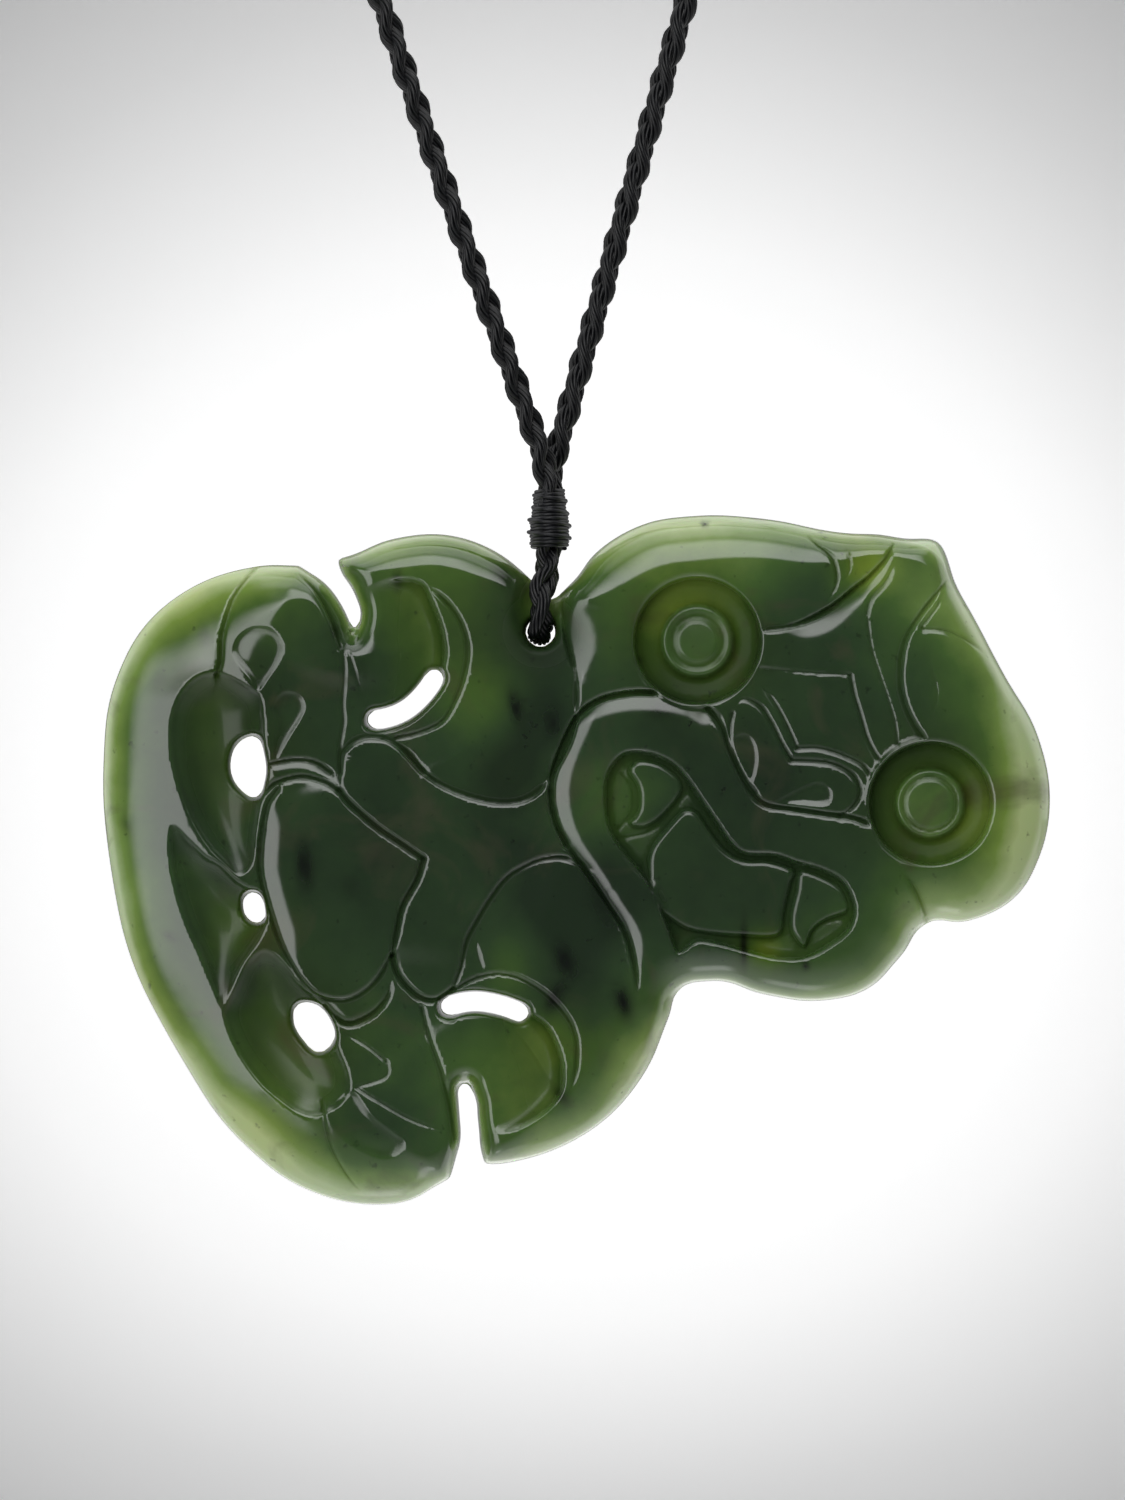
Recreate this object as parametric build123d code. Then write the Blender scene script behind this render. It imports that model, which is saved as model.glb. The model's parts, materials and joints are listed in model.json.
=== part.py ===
from build123d import *
import math
import os

# Greenstone hei tiki pendant on a plaited black cord, as it hangs on a wearer. Millimetres.
# X runs to the right of the figure as it is seen, +Z is up and the carved front faces -Y.
# The origin is the middle of the cord where it rests on the nape.

# Greenstone: overall size, and its faces' distances from the plane that halves it
stone_width = 94.7
stone_height = 69.0
stone_front = 4.4
stone_back = 3.4
front_round = 3.0
back_round = 2.2

# Plaited cord, and its gap to the stone that it passes over
cord_diameter = 2.4
cord_clearance = 0.25

# Where the cord goes through: shares of the stone's width and height, and how far the hole hangs below
pivot_share_u = 0.462
pivot_share_v = 0.8326
hole_play = 0.3
hole_sag = 0.1
hole_round = 0.5

# Thinned bridge of stone above the hole, the dish round it and the cord's bend over its edge
bridge_half = 2.2
saddle_margin = 4.3
saddle_slope = 2.0
bight_inner = 0.9
knee_rise = 3.9

# How far the stone can swing each way on the cord before its notch meets the binding, in degrees
swing_angle = 5.0

# Binding of thin thread round the two legs of the cord, from the hole's middle
binding_bottom = 8.05
binding_height = 6.2
binding_wall = 0.45
binding_lean = 0.9
binding_fit = 0.12
leg_gap = 0.2
leg_bend_rise = 2.05
throat_drop = 1.9

# Whipped join of the cord's two ends at the nape
join_length = 14.0
join_wall = 0.6
join_fit = 0.1

# Carving: depths from the front face
pocket_depth = 1.9
mouth_depth = 2.3
tongue_depth = 1.3
nose_depth = 0.8
palm_depth = 1.5
groove_width = 0.9
groove_depth = 0.8
socket_radius = 6.3
socket_depth = 2.2
ring_radius = 3.6
ring_width = 1.2
ring_depth = 0.9
pupil_depth = 1.5
slot_width = 1.9

# Where the cord goes through the stone, from the nape
hang = Vector(5.6, -110.0, -229.0)

# Points of the free cord, nape to chest, from the nape: the left leg and the right one
cord_route = {
    "left": [
        (-34.4, -12.0, -3.5),
        (-54.4, -34.0, -14.0),
        (-57.9, -62.0, -34.0),
        (-49.9, -84.0, -61.0),
        (-38.4, -98.0, -91.0),
        (-25.9, -106.0, -124.0),
        (-12.7, -109.2, -159.0),
    ],
    "right": [
        (34.4, -12.0, -3.5),
        (54.9, -34.0, -14.0),
        (58.6, -62.0, -34.0),
        (53.1, -84.0, -61.0),
        (44.1, -98.0, -91.0),
        (33.1, -106.0, -124.0),
        (22.2, -109.2, -159.0),
    ],
}

# Share of the shorter run beside a corner of the cord's route that the corner's arc takes up
arc_share = 0.45

# The stone's outline, as shares in percent of its width and height, clockwise from the left
outline = [
    (0.0, 62.0), (1.3, 76.0), (4.4, 84.0), (9.8, 89.9), (16.6, 92.7), (21.6, 92.9),
    (25.6, 94.0), (30.6, 96.6), (36.3, 97.2), (41.6, 94.7), (45.0, 91.0), (47.1, 87.8),
    (49.3, 90.0), (52.2, 94.8), (57.0, 98.7), (63.0, 100.0), (70.0, 99.5), (77.5, 97.6),
    (83.5, 96.9), (87.6, 94.9), (91.0, 87.6), (95.0, 77.4), (98.7, 68.2), (100.0, 60.0),
    (99.2, 51.6), (96.3, 44.6), (91.4, 41.2), (86.9, 40.8), (84.2, 36.0), (80.8, 31.4),
    (75.5, 29.6), (70.0, 30.5), (64.6, 32.5), (60.9, 31.3), (59.7, 27.0), (57.4, 19.6),
    (53.2, 12.6), (47.8, 8.1), (42.6, 6.1), (38.9, 5.6), (36.0, 3.4), (31.9, 0.5),
    (28.0, 0.1), (21.0, 2.6), (14.2, 9.8), (7.6, 22.9), (2.9, 36.0), (0.8, 49.0),
]

# Notches cut in from the edge: between foot and arm at the top, between foot and arm below
notches = [
    [
        [(18.4, 94.4), (21.2, 92.3), (23.6, 90.0), (25.4, 86.6), (26.5, 82.7)],
        [(26.5, 82.7), (27.2, 85.2), (26.5, 88.8), (25.0, 92.3), (24.7, 96.6)],
    ],
    [
        [(41.6, 2.6), (40.0, 7.4), (39.6, 12.0), (39.2, 16.0), (38.3, 17.9), (37.5, 16.4)],
        [(37.5, 16.4), (37.7, 13.0), (37.8, 9.8), (37.2, 6.4), (36.2, 2.0)],
    ],
]

# Closed openings right through, and the centre lines of the two curved slots
openings = [
    [(13.5, 64.6), (14.7, 67.5), (16.3, 67.9), (17.0, 65.6), (17.1, 61.6), (16.2, 59.1), (14.5, 60.3)],
    [(15.0, 44.9), (16.2, 45.4), (17.1, 43.2), (16.9, 41.2), (15.7, 41.1), (14.8, 43.2)],
    [(20.4, 29.0), (22.2, 29.3), (24.0, 27.0), (24.4, 24.0), (23.0, 22.2), (21.0, 24.2), (20.1, 27.0)],
]
slots = [
    [(28.9, 70.4), (31.6, 71.5), (33.9, 74.2), (35.0, 76.4)],
    [(36.6, 28.9), (39.0, 29.6), (41.5, 29.2), (44.0, 28.0)],
]

# Hollows carved in the front: the loop's points and the depth that each has
pockets = [
    ([(9.8, 76.0), (14.0, 75.6), (16.6, 72.4), (16.9, 66.0), (17.0, 59.6), (14.6, 53.0), (12.6, 51.3),
      (9.4, 56.6), (7.6, 64.0), (7.9, 71.6)], pocket_depth),
    ([(7.7, 54.0), (11.4, 50.0), (15.2, 46.2), (17.0, 42.6), (16.2, 37.6), (13.4, 30.6), (10.6, 36.4),
      (8.4, 44.8)], pocket_depth),
    ([(17.3, 36.2), (20.6, 32.2), (23.6, 28.6), (24.8, 23.4), (24.6, 17.4), (22.6, 13.4), (18.6, 16.2),
      (15.0, 22.0), (13.9, 28.4), (15.3, 33.6)], pocket_depth),
    ([(28.3, 89.6), (33.0, 89.4), (35.6, 84.6), (36.0, 79.0), (33.4, 75.0), (29.6, 73.8), (28.0, 80.0)],
     palm_depth),
    ([(41.0, 26.6), (44.6, 26.0), (47.9, 22.4), (47.6, 17.6), (45.0, 13.6), (42.0, 13.0), (41.0, 19.0)],
     palm_depth),
]
mouth = [
    (55.0, 65.4), (59.6, 64.6), (63.0, 59.4), (65.6, 53.8), (69.2, 51.2), (74.4, 49.6), (78.4, 46.6),
    (79.0, 41.6), (76.6, 37.2), (71.6, 35.8), (66.0, 37.6), (61.4, 37.4), (58.8, 42.8), (55.8, 49.4),
    (53.1, 55.4), (53.0, 61.4),
]
tongue = [
    (60.9, 56.4), (57.8, 51.6), (57.7, 46.6), (59.6, 41.8), (63.7, 39.2), (68.6, 38.9), (71.6, 41.6),
    (72.6, 46.6), (68.6, 49.9), (64.6, 52.4),
]
nose = [
    (66.3, 68.0), (69.6, 69.8), (72.0, 65.4), (77.4, 64.2), (79.8, 60.4), (77.6, 56.2), (71.4, 57.6),
    (67.4, 61.6),
]

# Sockets of the eyes
eyes = [(62.6, 81.4), (87.0, 58.0)]

# Carved grooves, each along its own centre line
grooves = [
    [(16.8, 92.4), (13.9, 88.4), (12.5, 82.3), (11.9, 77.4)],
    [(26.3, 82.0), (25.4, 75.0), (25.7, 69.7), (25.1, 65.0), (25.2, 60.4)],
    [(26.1, 66.9), (29.5, 67.9), (32.3, 65.0), (36.3, 60.6), (41.6, 58.5), (46.0, 60.4), (48.4, 65.2),
     (49.6, 73.0), (49.0, 81.0)],
    [(35.0, 88.2), (37.8, 83.7), (38.2, 77.4), (36.0, 70.6), (31.4, 67.8)],
    [(25.1, 60.0), (28.6, 55.2), (33.4, 50.6), (32.6, 46.0), (31.2, 40.0), (30.7, 36.6)],
    [(17.6, 61.0), (21.0, 62.1), (24.6, 60.4)],
    [(17.4, 58.0), (16.6, 50.1), (18.3, 39.6), (21.0, 32.7), (25.0, 29.7), (28.4, 31.8), (30.6, 36.2),
     (32.2, 31.8), (35.2, 30.0), (37.7, 33.6), (39.4, 41.1), (42.8, 47.7), (48.2, 50.4)],
    [(37.6, 31.4), (43.0, 33.2), (48.0, 28.8), (49.8, 22.0), (48.0, 16.6)],
    [(33.4, 28.6), (35.2, 21.6), (36.8, 12.6)],
    [(24.6, 24.6), (26.6, 17.0), (31.6, 9.6), (29.2, 7.2), (25.0, 10.2), (23.8, 14.0)],
    [(55.6, 74.3), (50.8, 71.8), (48.2, 65.4), (47.3, 58.0), (50.4, 49.0), (54.6, 40.2), (56.5, 30.5)],
    [(50.4, 74.6), (49.2, 80.0), (49.0, 87.0)],
    [(58.0, 73.6), (63.4, 72.2), (66.4, 65.6), (70.2, 57.9), (76.6, 56.2), (81.0, 55.2)],
    [(68.1, 76.8), (73.6, 77.2), (78.5, 76.6), (79.6, 71.6), (81.2, 64.6)],
    [(69.9, 83.2), (75.2, 84.9), (79.6, 88.9), (82.8, 93.6)],
    [(80.3, 85.5), (81.6, 77.8), (83.7, 69.0), (83.6, 66.1)],
    [(88.1, 89.4), (85.2, 82.6), (84.2, 75.0), (86.4, 67.4)],
]

cord_radius = cord_diameter / 2
hole_radius = cord_radius + hole_play
bight_radius = cord_radius + bight_inner
leg_offset = bridge_half + cord_clearance + cord_radius
leg_side = cord_radius + leg_gap / 2
saddle_radius = cord_radius + saddle_margin
nape_run = 1.02 * (join_length / 2) / (1 - arc_share)
throat_rise = binding_bottom - throat_drop
swing_room = throat_rise * math.tan(math.radians(swing_angle))
facing = Plane(origin=hang, x_dir=(1, 0, 0), z_dir=(0, -1, 0))


def plan(shares):
    """The point, in the stone's plan, of a pair of shares in percent of its width and height."""
    return Vector(
        (shares[0] / 100 - pivot_share_u) * stone_width,
        (shares[1] / 100 - pivot_share_v) * stone_height,
    )


def headings(points, closed):
    """Direction at each point of the circle through it and its two neighbours."""
    count = len(points)
    found = []
    for i, here in enumerate(points):
        before = points[(i - 1) % count] if closed or i else None
        after = points[(i + 1) % count] if closed or i < count - 1 else None
        if before is None:
            found.append(None)
        elif after is None:
            found.append(mirrored(found[-1], here - before))
        else:
            chord_in = here - before
            chord_out = after - here
            found.append((chord_in * (1 / chord_in.length**2) + chord_out * (1 / chord_out.length**2)).normalized())
    if not closed:
        found[0] = mirrored(found[1], points[1] - points[0])
    return found


def mirrored(direction, chord):
    """The direction at the other end of the one arc that has this chord and this direction."""
    unit = chord.normalized()
    return unit * (2 * unit.dot(direction)) - direction


def arc_or_line(start, end, direction):
    """One arc from start to end that leaves start in the given direction."""
    chord = end - start
    if abs(direction.cross(chord.normalized()).Z) < 1e-4:
        return Line(start, end)
    return TangentArc(start, end, tangent=direction)


def smooth(points, closed=False):
    """Tangent arcs through the points, two from each point to the next."""
    directions = headings(points, closed)
    count = len(points)
    edges = []
    for i in range(count if closed else count - 1):
        start, end = points[i], points[(i + 1) % count]
        t_start, t_end = directions[i], directions[(i + 1) % count]
        chord = end - start
        along = chord.dot(t_start + t_end)
        spread = 2 * (1 - t_start.dot(t_end))
        reach = chord.length**2 / (along + math.sqrt(along**2 + spread * chord.length**2))
        first = start + t_start * reach
        second = end - t_end * reach
        joint = (first + second) * 0.5
        edges.append(arc_or_line(start, joint, t_start))
        edges.append(arc_or_line(joint, end, (second - first).normalized()))
    return edges


def loop_face(table):
    """Face inside one smooth closed loop of shares."""
    return make_face(smooth([plan(row) for row in table], closed=True))


def stretch_face(stretches):
    """Face inside smooth stretches that meet at corners, closed by a straight line."""
    edges = []
    for stretch in stretches:
        edges += smooth([plan(row) for row in stretch])
    edges.append(Line(edges[-1] @ 1, edges[0] @ 0))
    return make_face(edges)


def band(table, width):
    """Face of one width along a smooth centre line of shares."""
    return trace(Curve(children=smooth([plan(row) for row in table])), width)


def slot_face(table):
    """Curved slot with round ends along a centre line of shares."""
    ends = [plan(table[0]), plan(table[-1])]
    return band(table, slot_width) + [Pos(end.X, end.Y) * Circle(slot_width / 2) for end in ends]


def carve(face, depth):
    """Solid that takes a face of the plan out of the front, down to a depth."""
    return extrude(facing.offset(stone_front - depth) * face, depth + 1)


def through(face):
    """Solid that takes a face of the plan out of the whole thickness."""
    return extrude(facing.offset(-stone_back - 1) * face, stone_front + stone_back + 2)


def eye_cutter(place):
    """Dished socket round a raised ring with a flat pupil inside it."""
    ring_mid = ring_radius - ring_width / 2
    ring_inner = ring_radius - ring_width
    pupil_radius = ring_inner - 0.5 * ring_width
    half = make_face(
        [
            Line((0, 1), (0, -pupil_depth)),
            Line((0, -pupil_depth), (pupil_radius, -pupil_depth)),
            Line((pupil_radius, -pupil_depth), (ring_inner, -socket_depth)),
            Line((ring_inner, -socket_depth), (ring_mid, -ring_depth)),
            Line((ring_mid, -ring_depth), (ring_radius, -socket_depth)),
            SagittaArc((ring_radius, -socket_depth), (socket_radius, 0), -0.35),
            Line((socket_radius, 0), (socket_radius, 1)),
            Line((socket_radius, 1), (0, 1)),
        ]
    )
    turned = revolve(Plane.XZ * half, Axis.Z)
    spot = plan(place)
    return facing.offset(stone_front) * Pos(spot.X, spot.Y, 0) * turned


def saddle_cutter(face_height):
    """Shallow dish with a flat floor, where the cord passes over the stone."""
    depth = face_height - bridge_half
    return Cone(saddle_radius, saddle_radius + saddle_slope, depth, align=(Align.CENTER, Align.CENTER, Align.MIN))


def leg_points(y):
    """Where a leg of the cord leaves the binding, meets the stone's face and turns into the hole."""
    return [
        hang + Vector(binding_lean, y * leg_side, throat_rise),
        hang + Vector(0, y * leg_offset, knee_rise),
        hang + Vector(0, y * leg_offset, 0),
    ]


def leg_hollow(y):
    """Worn hollow beside the notch that gives a leg of the cord room as the stone swings."""
    throat, knee, corner = leg_points(y)
    radius = cord_radius + cord_clearance + swing_room
    place = Plane(origin=knee, z_dir=throat - knee)
    return place * Cylinder(radius, 2 * (throat - knee).length, align=(Align.CENTER, Align.CENTER, Align.MIN))


def greenstone():
    """The carved stone with its rounded edges, piercings, hollows and hole for the cord."""
    slab = extrude(facing.offset(-stone_back) * loop_face(outline), stone_front + stone_back)
    rims = slab.edges().filter_by(lambda e: abs(e.center().Y - (hang.Y - stone_front)) < 1e-3)
    slab = fillet(rims, front_round)
    rims = slab.edges().filter_by(lambda e: abs(e.center().Y - (hang.Y + stone_back)) < 1e-3)
    slab = fillet(rims, back_round)
    for stretches in notches:
        slab -= through(stretch_face(stretches))
    for table, depth in pockets:
        slab -= carve(loop_face(table), depth)
    tongue_face = loop_face(tongue)
    slab -= carve(loop_face(mouth) - tongue_face, mouth_depth)
    slab -= carve(tongue_face, tongue_depth)
    slab -= carve(loop_face(nose), nose_depth)
    for table in grooves:
        slab -= carve(band(table, groove_width), groove_depth)
    for place in eyes:
        slab -= eye_cutter(place)
    for table in openings:
        slab -= through(loop_face(table))
    for table in slots:
        slab -= through(slot_face(table))
    slab -= facing.offset(bridge_half) * saddle_cutter(stone_front + 0.5)
    slab -= facing.offset(-bridge_half) * Rot(X=180) * saddle_cutter(stone_back + 0.5)
    slab -= leg_hollow(-1)
    slab -= leg_hollow(1)
    slab -= facing * Pos(0, -hole_sag, 0) * Cylinder(hole_radius, 2 * bridge_half)
    mouths = slab.edges().filter_by(GeomType.CIRCLE).filter_by(lambda e: abs(e.radius - hole_radius) < 1e-6)
    return fillet(mouths, hole_round)


def cord_path(side, y):
    """Centre line of one half of the necklace, from the nape to the middle of the hole."""
    outward = cord_route[side][0][0] / abs(cord_route[side][0][0])
    points = [Vector(0, 0, 0), Vector(outward * nape_run, 0, 0)]
    points += [Vector(p) for p in cord_route[side]]
    points += [
        hang + Vector(binding_lean, y * leg_side, binding_bottom + binding_height + leg_bend_rise),
        *leg_points(y),
        hang,
    ]
    runs = [end - start for start, end in zip(points, points[1:])]
    reaches = [arc_share * min(a.length, b.length) for a, b in zip(runs, runs[1:])]
    reaches[-4] = 0.95 * leg_bend_rise
    reaches[-1] = bight_radius
    half_turns = [math.radians(a.get_angle(b)) / 2 for a, b in zip(runs, runs[1:])]
    radii = [reach / math.tan(turn) for reach, turn in zip(reaches, half_turns)]
    print(side, "runs", [round(run.length, 1) for run in runs])
    print(side, "radii", [round(radius, 1) for radius in radii])
    return FilletPolyline(*points, radius=radii)


def cord_half(side, y):
    """Plain tube along one half of the necklace: y is -1 for the leg in front of the stone."""
    path = cord_path(side, y)
    start = Plane(origin=path @ 0, z_dir=path % 0)
    tube = sweep(start * Circle(cord_radius), path=path)
    print(side, "length", round(path.length, 1), "volume", round(tube.volume, 2),
          "expected", round(math.pi * cord_radius**2 * path.length, 2))
    return tube


def cord_binding():
    """Oval sleeve of thread round the two legs, which lie one in front of the other."""
    bore_width = cord_diameter + 2 * binding_fit
    bore_span = 2 * leg_side
    bore = Rot(Z=90) * SlotCenterToCenter(bore_span, bore_width)
    skin = Rot(Z=90) * SlotCenterToCenter(bore_span, bore_width + 2 * binding_wall)
    place = Pos(hang.X + binding_lean, hang.Y, hang.Z + binding_bottom)
    return place * extrude(skin - bore, binding_height)


def nape_join():
    """Whipped sleeve round the two ends of the cord, in line with the cord at the nape."""
    inner = cord_radius + join_fit
    sleeve = Cylinder(inner + join_wall, join_length) - Cylinder(inner, join_length)
    return Rot(Y=90) * sleeve


nodes = {
    "greenstone_tiki": greenstone(),
    "plaited_cord_left": cord_half("left", -1),
    "plaited_cord_right": cord_half("right", 1),
    "cord_binding": cord_binding(),
    "nape_join": nape_join(),
}

os.makedirs("parts", exist_ok=True)
for name, shape in nodes.items():
    shape.label = name
    export_step(shape, f"parts/{name}.step")
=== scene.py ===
"""Greenstone hei tiki pendant on a plaited black cord, hung in soft studio light.

The stone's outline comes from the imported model. Its relief is carved here: a height map over the plan is
built from short tables of carved lines, hollows and rings, and the stone's skin is laid onto it.
Tables place things by shares in percent of the stone's width and height, from its lower left corner.
"""
import json
import math

import bmesh
import bpy
import numpy as np
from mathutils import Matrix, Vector


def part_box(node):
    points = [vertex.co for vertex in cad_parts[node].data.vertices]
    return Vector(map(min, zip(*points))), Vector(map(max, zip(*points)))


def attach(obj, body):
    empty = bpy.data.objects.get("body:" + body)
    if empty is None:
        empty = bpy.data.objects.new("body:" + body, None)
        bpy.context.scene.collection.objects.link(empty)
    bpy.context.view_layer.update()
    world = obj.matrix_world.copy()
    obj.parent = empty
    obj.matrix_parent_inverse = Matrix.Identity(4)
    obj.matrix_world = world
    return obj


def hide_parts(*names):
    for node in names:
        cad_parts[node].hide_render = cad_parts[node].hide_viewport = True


bl_info = {
    "name": "Greenstone hei tiki pendant",
    "version": (1, 0, 0),
    "blender": (4, 5, 0),
    "location": "3D View > Sidebar > Hei tiki",
    "description": "Builds a carved greenstone pendant, its plaited cord, bindings and studio",
    "category": "Object",
}

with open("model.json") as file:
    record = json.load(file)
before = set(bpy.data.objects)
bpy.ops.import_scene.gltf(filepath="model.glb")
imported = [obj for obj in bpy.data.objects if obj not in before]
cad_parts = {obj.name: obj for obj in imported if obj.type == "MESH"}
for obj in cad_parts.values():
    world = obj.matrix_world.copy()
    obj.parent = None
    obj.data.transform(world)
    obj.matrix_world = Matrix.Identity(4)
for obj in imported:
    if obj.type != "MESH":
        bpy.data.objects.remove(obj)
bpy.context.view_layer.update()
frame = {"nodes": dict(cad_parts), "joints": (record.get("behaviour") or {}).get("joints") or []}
MM = 0.001
STONE_NODE = "greenstone_tiki"
STONE_LOW, STONE_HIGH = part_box(STONE_NODE)
STONE_WIDTH = (STONE_HIGH.x - STONE_LOW.x) / MM
STONE_HEIGHT = (STONE_HIGH.z - STONE_LOW.z) / MM
HANG = Vector(frame["joints"][0]["pos_m"])

# The cord's route in mm from the nape: down the left side to the hole, then the same for the right side
LEFT_ROUTE = [
    (0.0, 0.0, 0.0), (-13.0, 0.0, 0.0), (-34.4, -12.0, -3.5), (-54.4, -34.0, -14.0),
    (-57.9, -62.0, -34.0), (-49.9, -84.0, -61.0), (-38.4, -98.0, -91.0), (-25.9, -106.0, -124.0),
    (-12.7, -109.2, -159.0), (-4.6, -110.6, -183.0), (4.1, -111.3, -206.9), (6.5, -111.3, -213.4),
    (6.5, -111.3, -222.85), (5.6, -113.65, -225.1), (5.6, -113.65, -229.0), (5.6, -110.0, -229.0),
]
RIGHT_ROUTE = [
    (0.0, 0.0, 0.0), (13.0, 0.0, 0.0), (34.4, -12.0, -3.5), (54.9, -34.0, -14.0),
    (58.6, -62.0, -34.0), (53.1, -84.0, -61.0), (44.1, -98.0, -91.0), (33.1, -106.0, -124.0),
    (22.2, -109.2, -159.0), (15.2, -108.9, -183.0), (8.4, -108.7, -206.9), (6.5, -108.7, -213.4),
    (6.5, -108.7, -222.85), (5.6, -106.35, -225.1), (5.6, -106.35, -229.0), (5.6, -110.0, -229.0),
]

# How far the polished round-over reaches in from the outline: place, mm, how much light glows through the rim
# there, how far along the stone the row holds in mm, and its weight against its neighbours
ROUNDING = [
    (0, 62, 13, 0.22, 20, 1), (4, 84, 13, 0.27, 12, 1), (4, 30, 13, 0.32, 16, 1),
    (14, 6, 10, 0.65, 12, 1), (28, 1, 9, 0.35, 9, 1), (22, 92, 2.8, 0.5, 7, 2),
    (36, 97, 3.4, 0.35, 9, 2), (52, 94, 5.0, 0.3, 6, 2), (64, 100, 5.2, 0.4, 10, 2),
    (74, 99, 4.6, 0.35, 6, 2), (84, 96, 2.0, 0.25, 6, 4), (93, 82, 4.0, 0.4, 7, 2),
    (100, 62, 8.4, 0.62, 11, 1.5), (97, 46, 8.4, 0.6, 8, 1.5), (88, 41, 5.5, 0.5, 6, 1.5),
    (80, 32, 5.5, 0.2, 8, 1), (70, 30, 3.8, 0.15, 8, 1.5), (60, 28, 4.0, 0.2, 5, 2),
    (56, 17, 7.5, 0.35, 9, 1), (46, 7, 5.0, 0.5, 8, 1.5), (25.6, 86, 1.9, 0.1, 3.2, 25),
    (38.4, 13, 1.6, 0.2, 3.6, 25), (47.2, 87, 2.2, 0.1, 3.6, 20),
]

# Broad rises and falls of the front, before any carving: place, radius in mm, height in mm
SWELLS = [
    (40, 54, 13, -0.25), (74, 72, 10, -0.25), (66, 48, 11, -0.2), (80, 84, 7, -0.15), (89, 77, 6, -0.15),
    (29, 9, 9, 0.1), (46, 42, 8, 0.1),
]

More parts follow.
